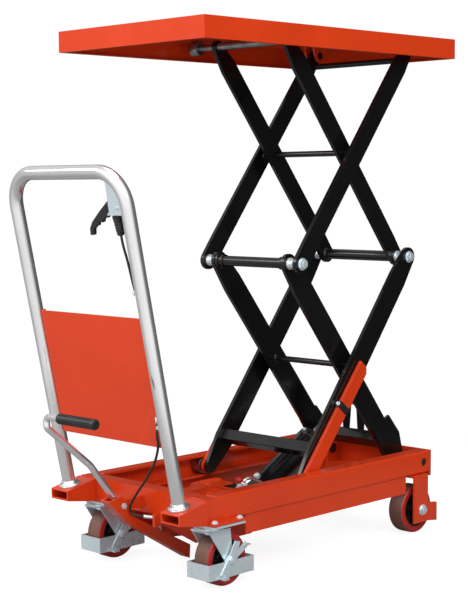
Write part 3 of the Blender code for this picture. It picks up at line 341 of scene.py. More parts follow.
def arc(corner, before, after, radius, steps=14):
    """Points of an arc that rounds a corner of a path."""
    to_before = (before - corner).normalized()
    to_after = (after - corner).normalized()
    half = to_before.angle(to_after) / 2
    center = corner + (to_before + to_after).normalized() * radius / math.sin(half)
    reach = radius / math.tan(half)
    start = (corner + to_before * reach - center).normalized()
    end = (corner + to_after * reach - center).normalized()
    return [center + start.slerp(end, k / steps) * radius for k in range(steps + 1)]


def smooth(points, samples=6):
    """A smooth path through points (Catmull-Rom)."""
    points = [Vector(p) for p in points]
    padded = [2 * points[0] - points[1]] + points + [2 * points[-1] - points[-2]]
    path = []
    for i in range(1, len(padded) - 2):
        a, b, c, d = padded[i - 1 : i + 3]
        for k in range(samples):
            t = k / samples
            path.append(
                (2 * b + (c - a) * t + (2 * a - 5 * b + 4 * c - d) * t * t
                 + (3 * b - a - 3 * c + d) * t**3) / 2
            )
    return path + [points[-1]]


def hexagon(bm, origin, axis, radius, height, turn=0.0):
    """Adds a hexagonal head with a chamfered top."""
    direction = Vector(axis).normalized()
    place = Matrix.Translation(origin) @ direction.to_track_quat("Z", "Y").to_matrix().to_4x4()
    place = place @ Matrix.Rotation(turn, 4, "Z")
    made = bmesh.ops.create_cone(
        bm, cap_ends=True, segments=6, radius1=radius, radius2=radius, depth=height,
        matrix=place @ Matrix.Translation((0, 0, height / 2)),
    )
    top = [
        face for face in {f for v in made["verts"] for f in v.link_faces}
        if len(face.verts) == 6 and (face.calc_center_median() - Vector(origin)).dot(direction) > height / 2
    ]
    bmesh.ops.bevel(
        bm, geom=list(top[0].edges), offset=height * 0.14, segments=2, profile=0.6, affect="EDGES"
    )


def bolt(name, origin, axis, radius, height, body, washer=0.0, turn=0.3):
    """A hexagon head, on a washer if one is given, with a shallow turned crown."""
    bm = bmesh.new()
    axis = Vector(axis).normalized()
    origin = Vector(origin)
    thick = 0.0016 if washer else 0.0
    if washer:
        spun(
            bm,
            [(radius * 0.5, 0.0), (washer, 0.0), (washer, thick * 0.8),
             (washer - 0.0004, thick), (radius * 0.5, thick)],
            origin, axis, 32,
        )
    hexagon(bm, origin + axis * thick, axis, radius, height, turn)
    crown, sunk, top = radius * 0.62, height * 0.9, height + 0.0008
    spun(
        bm,
        [(0.0, sunk), (crown, sunk), (crown, top - 0.0004), (crown - 0.0004, top), (0.0, top)],
        origin + axis * thick, axis, 24,
    )
    return own(from_bmesh(name, bm, 25.0), body, "zinc_plate")


def weld_bead(name, start, end, radius):
    """A rippled fillet weld along a straight seam of the chassis."""
    start, end = Vector(start), Vector(end)
    count = max(6, int((end - start).length / 0.0022))
    points = [start.lerp(end, k / count) for k in range(count + 1)]
    radii = [radius * (0.80 + 0.20 * math.cos(k * math.pi)) for k in range(count + 1)]
    radii[0] = radii[-1] = radius * 0.6
    return own(swept(name, points, radii, 3), "chassis", "orange_paint")


def weld_ring(name, origin, axis, inner, body):
    """A concave weld collar where a round bar meets an arm."""
    size = 0.005
    profile = [
        (inner, 0.0), (inner + size, 0.0), (inner + size * 0.55, size * 0.25),
        (inner + size * 0.22, size * 0.60), (inner, size),
    ]
    return own(lathe(name, profile, origin, axis, 28), body, "black_paint")


def block(bm, x, y, z, place=None):
    """Adds a box from three ranges."""
    made = bmesh.ops.create_cube(bm, size=1.0)["verts"]
    size = [abs(r[1] - r[0]) for r in (x, y, z)]
    middle = [(r[0] + r[1]) / 2 for r in (x, y, z)]
    matrix = Matrix.Translation(middle) @ Matrix.Diagonal((*size, 1.0))
    bmesh.ops.transform(bm, matrix=(place or Matrix()) @ matrix, verts=made)


def soften(obj, width):
    """Rounds the sharp edges of a piece."""
    bevel = obj.modifiers.new("Rounded edges", "BEVEL")
    bevel.width = width
    bevel.segments = 2
    bevel.limit_method = "ANGLE"
    bevel.angle_limit = math.radians(30.0)
    bevel.use_clamp_overlap = True
    bevel.harden_normals = True
    return obj


# ---- CAD nodes that keep their own shape ---------------------------------------
def dress_cad(node, finish, width):
    """Gives a CAD node its finish and rounded, smoothly shaded edges."""
    obj = NODES[node]
    mesh = obj.data
    for name in ("custom_normal", "sharp_edge", "sharp_face"):
        if name in mesh.attributes:
            mesh.attributes.remove(mesh.attributes[name])
    mesh.shade_smooth()
    weld = obj.modifiers.new("Join triangles", "WELD")
    weld.merge_threshold = 0.00001
    planar = obj.modifiers.new("Flat faces", "DECIMATE")
    planar.decimate_type = "DISSOLVE"
    planar.angle_limit = math.radians(0.5)
    soften(obj, width)
    normals = obj.modifiers.new("Even shading", "WEIGHTED_NORMAL")
    normals.keep_sharp = True
    mesh.materials.clear()
    mesh.materials.append(MATERIALS[finish])


# The width of each node family's rounded edges, by finish.
KEPT = {
    "orange_paint": {
        "side_rail": 0.0009, "handle_crossbeam": 0.0010, "front_crossbeam": 0.0010, "pump_tray": 0.0008,
        "handle_socket": 0.0009, "back_panel": 0.0007, "wheel_bracket": 0.0009, "safety_bar": 0.0010,
        "table": 0.0012, "pedal_arm": 0.0008,
    },
    "black_paint": {
        "lower_inner_arm": 0.0012, "lower_outer_arm": 0.0012, "upper_outer_arm": 0.0012,
        "upper_inner_arm": 0.0012, "lower_inner_crossbar": 0.0016, "lower_outer_crossbar": 0.0016,
        "pump_block": 0.0015,
    },
    "zinc_plate": {
        "lever_bracket": 0.0006, "caster_plate": 0.0008, "caster_fork": 0.0007, "brake_frame": 0.0006,
    },
    "black_rubber": {"release_lever": 0.0022},
}


def dress_kept_nodes():
    for finish, families in KEPT.items():
        for family, width in families.items():
            for node in (family, f"{family}_left", f"{family}_right"):
                if node in NODES:
                    dress_cad(node, finish, width)


# ---- push handle ---------------------------------------------------------------
def push_handle():
    """The bent tube and a stepped collar round each of its feet."""
    foot = 0.0004
    corners = [
        on_handle(HANDLE_HALF_SPAN, foot),
        on_handle(HANDLE_HALF_SPAN, HANDLE_LENGTH),
        on_handle(-HANDLE_HALF_SPAN, HANDLE_LENGTH),
        on_handle(-HANDLE_HALF_SPAN, foot),
    ]
    path = [corners[0]]
    path += arc(corners[1], corners[0], corners[2], HANDLE_BEND)
    path += arc(corners[2], corners[1], corners[3], HANDLE_BEND)
    path.append(corners[3])
    tube = swept("handle_tube_polished", path, HANDLE_RADIUS, 14)
    own(tube, "chassis", "bright_chrome", ["handle_tube"])
    steps = (
        (-0.0010, 0.0000), (0.0095, 0.0000), (0.0100, 0.0006), (0.0100, 0.0036), (0.0094, 0.0044),
        (0.0060, 0.0056), (0.0036, 0.0084), (0.0026, 0.0130), (0.0020, 0.0138), (-0.0010, 0.0140),
    )
    collar = [(HANDLE_RADIUS + out, foot + up) for out, up in steps]
    for side, s in SIDES.items():
        base = on_handle(s * HANDLE_HALF_SPAN, 0.0)
        own(lathe(f"handle_collar_{side}", collar, base, LEAN_UP, 48), "chassis", "bright_chrome")


def release_cable():
    """The sheath from the lever's boot, down the right leg and past the panel, to the beam's lug."""
    route = [
        on_handle(-0.1515, BOOT_TOP - 0.036, 0.0040),
        on_handle(-0.1570, BOOT_TOP - 0.063),
        on_handle(-0.1630, BOOT_TOP - 0.101),
        on_handle(CABLE_Y, PANEL_TOP + 0.062),
        on_handle(-0.1680, PANEL_TOP + 0.012, 0.013),
        on_handle(-0.1680, PANEL_TOP - 0.120, 0.014),
        on_handle(-0.1680, PANEL_TOP - 0.205, 0.014),
        on_handle(-0.1690, PANEL_TOP - 0.242),
        on_handle(-0.1690, PANEL_TOP - 0.270, -0.008),
        on_handle(-0.1655, PANEL_TOP - 0.293, -0.006),
        at(-0.5108, -0.1353, 0.3005),
        at(-0.5010, -0.0939, 0.2531),
        at(-0.4932, -0.0542, 0.2157),
        at(-0.4880, -0.0245, 0.1805),
        at(-0.4840, -0.0225, 0.1630),
        at(-0.4780, -0.0300, 0.1573),
        at(-0.4660, -0.0440, 0.1550),
        at(-0.4500, -0.0596, 0.1525),
    ]
    cable = swept("release_cable_sheath", smooth(route), 0.0029, 6)
    own(cable, "chassis", "black_rubber", ["release_cable"])


def lever_boot():
    """A tapering rubber boot with ripples, where the cable meets the lever."""
    knots = [
        on_handle(-0.1480, BOOT_TOP, 0.0065),
        on_handle(-0.1485, BOOT_TOP - 0.0140, 0.0062),
        on_handle(-0.1515, BOOT_TOP - 0.0360, 0.0040),
        on_handle(-0.1526, BOOT_TOP - 0.0435, 0.0030),
    ]
    line = smooth(knots, 10)
    radii = []
    for k in range(len(line)):
        along = k / (len(line) - 1)
        taper = 0.0126 - 0.0060 * along
        ripple = 0.0007 * math.cos(k * math.pi * 0.8) if 0.12 < along < 0.8 else 0.0
        radii.append(taper + ripple)
    own(swept("lever_boot", line, radii, 8), "chassis", "black_rubber")


def cable_fittings():
    """The ferrule and nut at the lug, and two clips with screws that hold the cable to the leg."""
    start, end = at(-0.4655, -0.0446, 0.1549), at(-0.4502, -0.0594, 0.1525)
    own(swept("cable_ferrule", [start, end], 0.0045, 8), "chassis", "bright_chrome")
    along = (end - start).normalized()
    bolt("cable_nut", end + along * 0.0002, along, 0.0058, 0.0022, "chassis")
    ring = rounded([(0.0029, -0.0055), (0.0052, -0.0055), (0.0052, 0.0055), (0.0029, 0.0055)], 0.0004)
    for level, height in (("upper", PANEL_TOP + 0.058), ("lower", PANEL_TOP - 0.252)):
        center = on_handle(CABLE_Y, height)
        own(lathe(f"cable_clip_{level}", ring, center, LEAN_UP, 24), "chassis", "zinc_plate")
        screw = center - LEAN_OUT * 0.0048
        bolt(f"cable_clip_screw_{level}", screw, -LEAN_OUT, 0.0030, 0.0016, "chassis")


def lever_pin():
    """The domed pin of the release lever and the bolt that holds its bracket."""
    height = HANDLE_LENGTH - 0.0566
    dome = [
        (0.0, 0.0150), (0.0032, 0.0148), (0.0056, 0.0136), (0.0060, 0.0122), (0.0060, 0.0114), (0.0, 0.0114),
    ]
    head = lathe("lever_pin_head", dome, on_handle(-0.156, height), LEAN_OUT, 24)
    own(head, "chassis", "zinc_plate")
    bolt("bracket_bolt", on_handle(-0.160, height - 0.022, -0.0016), -LEAN_OUT, 0.0042, 0.0024, "chassis")


# ---- wheels ----------------------------------------------------------------------
def tyre(name, center, body, node):
    """A tread with rounded shoulders; its side faces have a colour of their own."""
    r, w = WHEEL_RADIUS, TYRE_HALF
    half = [
        (r - 0.0167, w - 0.0012), (r - 0.0095, w - 0.0004), (r - 0.0060, w), (r - 0.0035, w - 0.0006),
        (r - 0.0016, w - 0.0024), (r - 0.0005, w - 0.0052), (r, w - 0.0090),
    ]
    profile = half + [(a, -b) for a, b in reversed(half)]
    obj = lathe(name, profile, center, (0, 1, 0), 72, 40.0)
    own(obj, body, "tread_polyurethane", [node])
    obj.data.materials.append(MATERIALS["tyre_side"])
    for face in obj.data.polygons:
        face.material_index = int(abs(face.normal.y) > 0.55)


def hub(name, center, boss, body, node):
    """Moulded wheel centre: rim band, ribbed web and a boss with a steel bushing."""
    rim = WHEEL_RADIUS - 0.0170
    half = [
        (0.0092, boss - 0.0010), (0.0132, boss - 0.0010), (0.0140, boss - 0.0020), (0.0150, 0.0080),
        (0.0170, 0.0065), (rim - 0.0090, 0.0065), (rim - 0.0065, 0.0090), (rim - 0.0052, TYRE_HALF - 0.004),
        (rim - 0.0040, TYRE_HALF - 0.0028), (rim - 0.0006, TYRE_HALF - 0.0028), (rim, TYRE_HALF - 0.0034),
    ]
    profile = half + [(a, -b) for a, b in reversed(half)]
    bm = bmesh.new()
    spun(bm, profile, center, (0, 1, 0), 56)
    for k in range(8):
        spoke = Matrix.Translation(center) @ Matrix.Rotation(k * math.pi / 4, 4, "Y")
        block(bm, (0.0142, rim - 0.0045), (-0.0150, 0.0150), (-0.0014, 0.0014), spoke)
    own(from_bmesh(name, bm), body, "hub_plastic", [node])
    sleeve = [
        (0.0068, -boss), (0.0088, -boss), (0.0092, -boss + 0.0006), (0.0092, boss - 0.0006),
        (0.0088, boss), (0.0068, boss),
    ]
    own(lathe(f"{name}_bushing", sleeve, center, (0, 1, 0), 32), body, "dark_steel")


def swivel_head(side):
    """The ball race between fork and plate, and the riveted end of the kingpin."""
    swivel = joint_at(f"caster_swivel_{side}")
    disc_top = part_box(f"caster_fork_{side}")[1].z
    steps = (
        (0.0125, 0.0006), (0.0290, 0.0002), (0.0330, 0.0016), (0.0352, 0.0046), (0.0356, 0.0072),
        (0.0344, 0.0096), (0.0300, 0.0122), (0.0260, 0.0128), (0.0125, 0.0128),
    )
    raceway = [(radius, disc_top - down) for radius, down in steps]
    shape = lathe(f"swivel_raceway_{side}", raceway, (swivel.x, swivel.y, 0), (0, 0, 1), 56)
    own(shape, f"caster_{side}", "zinc_plate")
    dome = [(0.0, -0.0340), (0.0085, -0.0336), (0.0100, -0.0322), (0.0100, -0.0262), (0.0, -0.0262)]
    kingpin = Vector((swivel.x, swivel.y, RAIL_LOW.z + 0.045))
    own(lathe(f"swivel_kingpin_{side}", dome, kingpin, (0, 0, 1), 28), "chassis", "zinc_plate")


def caster_bolts(side):
    """Four bolts through the caster plate; the outer two sit on the rail's ear."""
    low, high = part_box(f"caster_plate_{side}")
    for k, x in enumerate((low.x + 0.011, high.x - 0.012)):
        for edge, y, lift in (("outer", 0.2350, 0.0072), ("inner", 0.1450, 0.0002)):
            name = f"caster_bolt_{side}_{edge}_{k}"
            place = Vector((x, SIDES[side] * y, high.z + lift))
            bolt(name, place, (0, 0, 1), 0.0066, 0.0038, "chassis", 0.0085, 0.4 + k)


def caster(side):
    """Tread, hub, axle head and nut, swivel head, plate bolts and the rib of the brake's tongue."""
    axle = joint_at(f"caster_roll_{side}")
    fork, wheel = f"caster_{side}", f"caster_wheel_{side}"
    tyre(f"caster_tread_{side}", axle, wheel, f"caster_tyre_{side}")
    hub(f"caster_center_{side}", axle, 0.0265, wheel, f"caster_hub_{side}")
    head, nut = axle + Vector((0, -0.0389, 0)), axle + Vector((0, 0.0362, 0))
    bolt(f"caster_axle_head_{side}", head, (0, -1, 0), 0.0098, 0.0052, fork, 0.0)
    bolt(f"caster_axle_nut_{side}", nut, (0, 1, 0), 0.0098, 0.0062, fork, 0.0)
    swivel_head(side)
    caster_bolts(side)
    rib = bmesh.new()
    block(
        rib, (axle.x - 0.0368, axle.x - 0.0192), (axle.y - 0.0500, axle.y - 0.0380),
        (axle.z - 0.0358, axle.z - 0.0340),
    )
    tongue = soften(from_bmesh(f"brake_tongue_rib_{side}", rib), 0.0006)
    own(tongue, f"caster_brake_{side}", "zinc_plate")


def fixed_wheel(side):
    """Tread, hub and the axle's head and nut on the bracket's legs."""
    s = SIDES[side]
    axle = joint_at(f"fixed_wheel_roll_{side}")
    body = f"fixed_wheel_{side}"
    tyre(f"fixed_tread_{side}", axle, body, f"fixed_tyre_{side}")
    hub(f"fixed_center_{side}", axle, 0.0310, body, f"fixed_hub_{side}")
    outside = Vector((axle.x, s * 0.2302, axle.z))
    bolt(f"fixed_axle_head_{side}", outside, (0, s, 0), 0.0115, 0.0058, "chassis", 0.0145)
    inside = Vector((axle.x, s * 0.1499, axle.z))
    bolt(f"fixed_axle_nut_{side}", inside, (0, -s, 0), 0.0105, 0.0060, "chassis", 0.0)


# ---- scissor -----------------------------------------------------------------------
def bar_profile(steps, chamfer=0.0008):
    """A turned bar symmetric about its middle, from (radius, half-length) steps outward."""
    right, previous = [], 0.0
    for radius, reach in steps:
        right += [(radius, previous), (radius, reach)]
        previous = reach
    right = rounded(right[1:] + [(0.0, previous)], chamfer)
    left = [(r, -a) for r, a in reversed(right)]
    return left + right


def shafts():
    """Turned bars across the scissor, and the weld collars where they meet the arms."""
    bars = (
        (
            "rear_knuckle_shaft", MID_REAR, "lower_inner",
            [(0.013, 0.0960), (0.016, INNER_END), (0.010, 0.1660)],
        ),
        ("lower_center_rod", LOWER_CENTER, "lower_inner", [(0.0075, 0.1655)]),
        ("upper_tie_rod", TIE_ROD, "upper_outer", [(0.0075, 0.1547)]),
        ("upper_center_rod", UPPER_CENTER, "upper_outer", [(0.0075, 0.1655)]),
        ("front_knuckle_shaft", MID_FRONT, "upper_inner", [(0.014, INNER_END), (0.010, 0.1660)]),
        ("table_roller_shaft", TOP_ROLL, "upper_inner", [(0.010, INNER_END), (0.008, 0.2069)]),
    )
    for node, center, body, steps in bars:
        finish = "dark_steel" if node == "table_roller_shaft" else "black_paint"
        shape = lathe(f"{node}_turned", bar_profile(steps), center, (0, 1, 0), 40)
        own(shape, body, finish, [node])
    collars = (
        ("lower_center", LOWER_CENTER, "lower_inner", 0.0074, INNER_END),
        ("upper_center", UPPER_CENTER, "upper_outer", 0.0074, 0.1548),
        ("rear_knuckle", MID_REAR, "lower_inner", 0.0159, INNER_END),
        ("front_knuckle", MID_FRONT, "upper_inner", 0.0139, INNER_END),
        ("tie_rod", TIE_ROD, "upper_outer", 0.0074, 0.1548),
    )
    for side, s in SIDES.items():
        for name, center, body, radius, y in collars:
            origin = center + Vector((0.0, s * y, 0.0))
            weld_ring(f"{name}_weld_{side}", origin, (0, -s, 0), radius, body)


def safety_straps():
    """A spring strap round each safety bar with its screw, about two thirds of the way up."""
    along = Vector((math.cos(BAR_ANGLE), 0.0, math.sin(BAR_ANGLE)))
    across = Vector((-along.z, 0.0, along.x))
    middle = BASE_ROLL + along * STRAP_PLACE
    place = Matrix.Translation(middle) @ Matrix((along, (0, 1, 0), across)).transposed().to_4x4()
    length, reach, thick = (-0.009, 0.009), 0.0208, 0.0017
    inner, outer = 0.1658, 0.1784
    for side, s in SIDES.items():
        bm = bmesh.new()
        for y in ((0.1766, outer), (inner, 0.1674)):
            block(bm, length, (s * y[0], s * y[1]), (-reach, reach), place)
        for z in ((reach - thick, reach), (-reach, thick - reach)):
            block(bm, length, (s * inner, s * outer), z, place)
        strap = soften(from_bmesh(f"safety_strap_{side}", bm), 0.0005)
        own(strap, f"safety_bar_{side}", "black_rubber")
        screw = middle + across * reach + Vector((0.0, s * 0.1720, 0.0))
        bolt(f"safety_strap_screw_{side}", screw, across, 0.0048, 0.0036, f"safety_bar_{side}", 0.0058)


def knuckle_bolts():
    """Spacers and bolts at the knuckles, and a cap on each of the table's pivots."""
    steps = [
        (0.0101, 0.1256), (0.0150, 0.1256), (0.0150, 0.1304), (0.0136, 0.1312), (0.0136, 0.1488),
        (0.0150, 0.1496), (0.0150, 0.1544), (0.0101, 0.1544),
    ]
    spacer = rounded(steps, 0.0004)
    cap = [(0.0, 0.0), (0.0128, 0.0), (0.0132, 0.0005), (0.0132, 0.0018), (0.0120, 0.0026), (0.0, 0.0026)]
    for side, s in SIDES.items():
        for name, center, body in (("rear", MID_REAR, "lower_inner"), ("front", MID_FRONT, "upper_inner")):
            ring = lathe(f"{name}_knuckle_spacer_{side}", spacer, center, (0, s, 0), 36)
            own(ring, body, "zinc_plate")
            origin = center + Vector((0.0, s * (OUTER_FACE + 0.0012), 0.0))
            bolt(f"{name}_knuckle_bolt_{side}", origin, (0, s, 0), 0.0122, 0.0070, body, 0.0152, 0.2)
        origin = TOP_PIVOT + Vector((0.0, s * 0.1796, 0.0))
        own(lathe(f"table_pivot_clip_{side}", cap, origin, (0, s, 0), 32), "upper_outer", "dark_steel")


def base_pins():
    """The headed pins of the fixed lower pivots."""
    inside, end = 0.0995, 0.2168
    steps = [
        (0.0, inside - 0.004), (0.014, inside - 0.004), (0.014, inside), (0.010, inside), (0.010, end),
        (0.0, end),
    ]
    for side, s in SIDES.items():
        shape = lathe(f"pivot_pin_turned_{side}", rounded(steps, 0.0009), BASE_PIVOT, (0, s, 0), 40)
        # The pin ends are very dark brown: painted shade of their recessed holes in the rails.
        own(shape, "chassis", "painted_shade_steel", [f"pivot_pin_{side}"])


def rollers():
    """Steel rollers with a shallow groove in both faces."""
    inner, outer = 0.1803, 0.2063
    for kind, center, radius in (("base", BASE_ROLL, 0.022), ("table", TOP_ROLL, 0.018)):
        face = [
            (0.0084, 0.0004), (0.0088, 0.0), (0.0124, 0.0), (0.0128, 0.0010), (radius - 0.0040, 0.0010),
            (radius - 0.0036, 0.0), (radius - 0.0012, 0.0), (radius - 0.0003, 0.0004), (radius, 0.0014),
        ]
        profile = [(r, inner + depth) for r, depth in face]
        profile += [(r, outer - depth) for r, depth in reversed(face)]
        for side, s in SIDES.items():
            shape = lathe(f"{kind}_roller_turned_{side}", profile, center, (0, s, 0), 48)
            own(shape, f"{kind}_roller_{side}", "dark_steel", [f"{kind}_roller_{side}"])


# ---- hydraulics ------------------------------------------------------------------------
def ram_barrel():
    """The cylinder with its gland, the eye at its foot, an oil port and a bleed screw."""
    steps = [
        (0.0, 0.0250), (0.0260, 0.0250), (0.0335, 0.0262), (0.0350, 0.0290), (0.0350, 0.0520),
        (0.0356, 0.0530), (0.0356, 0.0560), (0.0350, 0.0570), (0.0350, 0.2655), (0.0362, 0.2668),
        (0.0365, 0.2680), (0.0365, 0.2830), (0.0360, 0.2846), (0.0300, 0.2902), (0.0280, 0.2918),
        (0.0200, 0.2920), (0.0190, 0.2900), (0.0150, 0.2900), (0.0150, 0.2720), (0.0, 0.2720),
    ]
    shape = lathe("ram_barrel_turned", steps, BARREL_PIN, RAM_DIR, 64)
    own(shape, "ram_barrel", "black_paint", ["cylinder_barrel"])
    bush = rounded([(0.0083, -0.018), (0.0165, -0.018), (0.0165, 0.018), (0.0083, 0.018)], 0.0006)
    eye = bmesh.new()
    spun(eye, bush, BARREL_PIN, (0, 1, 0), 36)
    place = Matrix.Translation(BARREL_PIN) @ Matrix((RAM_DIR, (0, 1, 0), RAM_UP)).transposed().to_4x4()
    block(eye, (0.0120, 0.0300), (-0.0175, 0.0175), (-0.0140, 0.0140), place)
    own(from_bmesh("ram_barrel_eye", eye), "ram_barrel", "black_paint")
    port = BARREL_PIN + RAM_DIR * 0.0700 + RAM_UP * 0.0345
    bolt("ram_port", port, RAM_UP, 0.0085, 0.0100, "ram_barrel", 0.0)
    bleed = BARREL_PIN + RAM_DIR * 0.2760 + RAM_UP * 0.0362
    bolt("ram_bleed_screw", bleed, RAM_UP, 0.0050, 0.0042, "ram_barrel")


def ram_rod():
    """The polished rod and the eye that goes round the crossbar's pin."""
    begin, end = 0.2560, ROD_PIN_DISTANCE - 0.0200
    bar = [(0.0, begin), (0.0145, begin), (0.0145, end), (0.0, end)]
    rod = lathe("piston_rod_polished", bar, BARREL_PIN, RAM_DIR, 48)
    own(rod, "ram_rod", "bright_chrome", ["piston_rod"])
    half = [(0.0250, 0.0182), (0.0242, 0.0190), (0.0182, 0.0190), (0.0176, 0.0184)]
    ring = [(r, -a) for r, a in reversed(half)] + half
    rod_pin = BARREL_PIN + RAM_DIR * ROD_PIN_DISTANCE
    own(lathe("piston_rod_eye", ring, rod_pin, (0, 1, 0), 48), "ram_rod", "dark_steel")


def pump_fittings():
    """The valve knob and two plugs on the pump body, and the caps of the oil tank."""
    steps = [
        (0.0, 0.0), (0.0060, 0.0), (0.0060, 0.0060), (0.0085, 0.0068), (0.0098, 0.0090), (0.0098, 0.0150),
        (0.0086, 0.0176), (0.0050, 0.0188), (0.0, 0.0190),
    ]
    knob = lathe("release_valve_knob", steps, (PUMP_EDGE - 0.012, -0.020, PUMP_DECK), (0, 0, 1), 32)
    own(knob, "chassis", "valve_red")
    for k, (x, y) in enumerate(((0.0120, -0.0400), (0.0300, -0.0410))):
        place = Vector((PUMP_EDGE - x, y, PUMP_DECK))
        bolt(f"pump_plug_{k}", place, (0, 0, 1), 0.0078, 0.0060, "chassis", 0.0098, 0.5 * k)
    cap = [(0.0, 0.0), (0.0250, 0.0), (0.0262, 0.0012), (0.0262, 0.0060), (0.0, 0.0060)]
    for end, inward, turn in (("front", 0.003, 1), ("rear", 0.068, -1)):
        center = Vector((PUMP_EDGE - inward, TANK_Y, RAIL_LOW.z + 0.039))
        own(lathe(f"tank_cap_{end}", cap, center, (turn, 0, 0), 40), "chassis", "orange_paint")


def pressure_pipe():
    """The bent pipe from the first plug to the side of the ram."""
    port = BARREL_PIN + RAM_DIR * 0.0780 + Vector((0.0, -0.0350, 0.0))
    route = [
        Vector((PUMP_EDGE - 0.0120, -0.0400, PUMP_DECK + 0.0060)),
        Vector((PUMP_EDGE - 0.0110, -0.0400, PUMP_DECK + 0.0150)),
        Vector((PUMP_EDGE + 0.0060, -0.0430, PUMP_DECK + 0.0180)),
        Vector((PUMP_EDGE + 0.0360, -0.0500, PUMP_DECK + 0.0040)),
        Vector((PUMP_EDGE + 0.0700, -0.0530, PUMP_DECK - 0.0180)),
        Vector((port.x - 0.0060, -0.0520, port.z - 0.0020)),
        port + Vector((0.0, -0.0060, 0.0)),
    ]
    own(swept("pressure_pipe", smooth(route), 0.0036, 6), "chassis", "bright_chrome")
    seat = port + Vector((0.0, 0.0010, 0.0))
    bolt("pressure_port_nut", seat, (0, -1, 0), 0.0075, 0.0070, "ram_barrel", 0.0)


def plunger():
    """The pump's polished plunger on its round foot."""
    low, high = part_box("pump_plunger")
    center = Vector(((low.x + high.x) / 2, 0.0, 0.0))
    stem = [
        (0.0, low.z), (0.0106, low.z), (0.0110, low.z + 0.0004), (0.0110, low.z + 0.0036),
        (0.0106, low.z + 0.0040), (0.0080, low.z + 0.0040), (0.0080, high.z), (0.0, high.z),
    ]
    shape = lathe("plunger_polished", stem, center, (0, 0, 1), 36)
    own(shape, "pump_plunger", "bright_chrome", ["pump_plunger"])


def pump_cover():
    """Folded sheet over the pump head, the body's rear half and the tank, open round the valve."""
    low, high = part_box("pump_block")
    sheet, gap = 0.0007, 0.0002
    deck, base = high.z - 0.0090, high.z - 0.0590
    bridge = deck - 0.0130
    head_end, body_start = PUMP_EDGE - 0.128, PUMP_EDGE - 0.075
    head, narrow = (low.x + 0.001, head_end), (-0.0209, 0.0209)
    back = (body_start - gap - sheet, body_start - gap)
    over = (deck + gap, deck + gap + sheet)
    bm = bmesh.new()
    block(bm, head, narrow, (high.z + gap, high.z + gap + sheet))
    for y in ((-0.0209, -0.0202), (0.0202, 0.0209)):
        block(bm, head, y, (high.z - 0.036, high.z + gap + sheet))
    block(bm, (head_end, PUMP_EDGE - 0.076), narrow, (bridge + gap, bridge + gap + sheet))
    block(bm, (back[0], body_start + 0.022), (-0.0509, 0.0), over)
    block(bm, (back[0], PUMP_EDGE - 0.004), (-0.0002, 0.0480), over)
    block(bm, back, (-0.0509, 0.0509), (base, over[1]))
    block(bm, (back[0], body_start + 0.022), (-0.0509, -0.0502), (base, over[1]))
    own(from_bmesh("pump_cover", bm), "chassis", "orange_paint")
    radius, length = 0.0263, 0.0650
    wrap = [(radius, 0.0), (radius + sheet, 0.0), (radius + sheet, length), (radius, length)]
    center = Vector((PUMP_EDGE - 0.068, TANK_Y, deck - 0.0220))
    own(lathe("tank_wrap", wrap, center, (1, 0, 0), 40), "chassis", "orange_paint")


def pedal_rod():
    """The bent rod from the pedal arm up and across to the grip."""
    x, z = PEDAL_PIVOT.x, PEDAL_PIVOT.z
    start = Vector((x - 0.0185, 0.0, z + 0.0215))
    knee = Vector((x - 0.0865, 0.0, z + 0.1065))
    elbow = Vector((x - 0.2080, 0.0, z + 0.2080))
    tip = GRIP_CORNER + Vector((0.0, -0.150, 0.0))
    path = [start, *arc(knee, start, elbow, 0.060, 8), *arc(elbow, knee, GRIP_CORNER, 0.012, 6)]
    path += [*arc(GRIP_CORNER, elbow, tip, 0.012, 6), tip]
    own(swept("pedal_rod_polished", path, 0.008, 8), "foot_pedal", "bright_chrome", ["pedal_rod"])


def pedal_grip():
    """A rubber grip with twelve ribs along it and a bead at either end."""
    begin, end, radius, ribs = 0.0450, 0.1690, 0.0120, 12
    profile = [
        (0.0, begin + 0.0020), (0.0083, begin), (0.0104, begin), (0.0116, begin + 0.0010),
        (radius, begin + 0.0035), (radius, begin + 0.0080), (0.0112, begin + 0.0100),
        (0.0112, end - 0.0150), (radius, end - 0.0130), (radius, end - 0.0040), (0.0114, end - 0.0016),
        (0.0096, end - 0.0002), (0.0060, end), (0.0, end),
    ]
    grip = bmesh.new()
    spun(grip, profile, GRIP_CORNER, (0, -1, 0), 40)
    for k in range(ribs):
        around = Matrix.Translation(GRIP_CORNER) @ Matrix.Rotation(k * 2 * math.pi / ribs, 4, "Y")
        block(grip, (-0.0013, 0.0013), (-end + 0.0120, -begin - 0.0070), (0.0100, radius), around)
    own(from_bmesh("pedal_grip_ribbed", grip), "foot_pedal", "black_rubber", ["pedal_grip"])


def pedal_pin():
    """The heads of the pedal's pivot pin."""
    for side, s in SIDES.items():
        origin = PEDAL_PIVOT + Vector((0.0, s * 0.0163, 0.0))
        bolt(f"pedal_pin_{side}", origin, (0, s, 0), 0.0080, 0.0030, "foot_pedal", 0.0)


# ---- welds on the chassis -----------------------------------------------------------------
def chassis_welds():
    """Beads at the sockets, where the rails meet the rear beam, and at the front corners."""
    beam_side = BEAM_HIGH.y - 0.001
    for side, s in SIDES.items():
        low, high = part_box(f"handle_socket_{side}")
        inner = min(abs(low.y), abs(high.y)) + 0.002
        rail_front, corner_y = RAIL_HIGH.x + 0.0002, s * 0.2135
        seams = (
            ("socket_weld_top", (high.x - 0.0004, high.z + 0.0004), (s * inner, s * beam_side), 0.0024),
            ("rail_weld_top", (BEAM_HIGH.x, RAIL_TOP - 0.0018), (s * 0.181, s * beam_side), 0.0022),
        )
        for name, (x, z), (begin, end), radius in seams:
            weld_bead(f"{name}_{side}", (x, begin, z), (x, end, z), radius)
        top, bottom = (rail_front, corner_y, RAIL_TOP - 0.006), (rail_front, corner_y, RAIL_TOP - 0.050)
        weld_bead(f"front_weld_{side}", top, bottom, 0.0022)


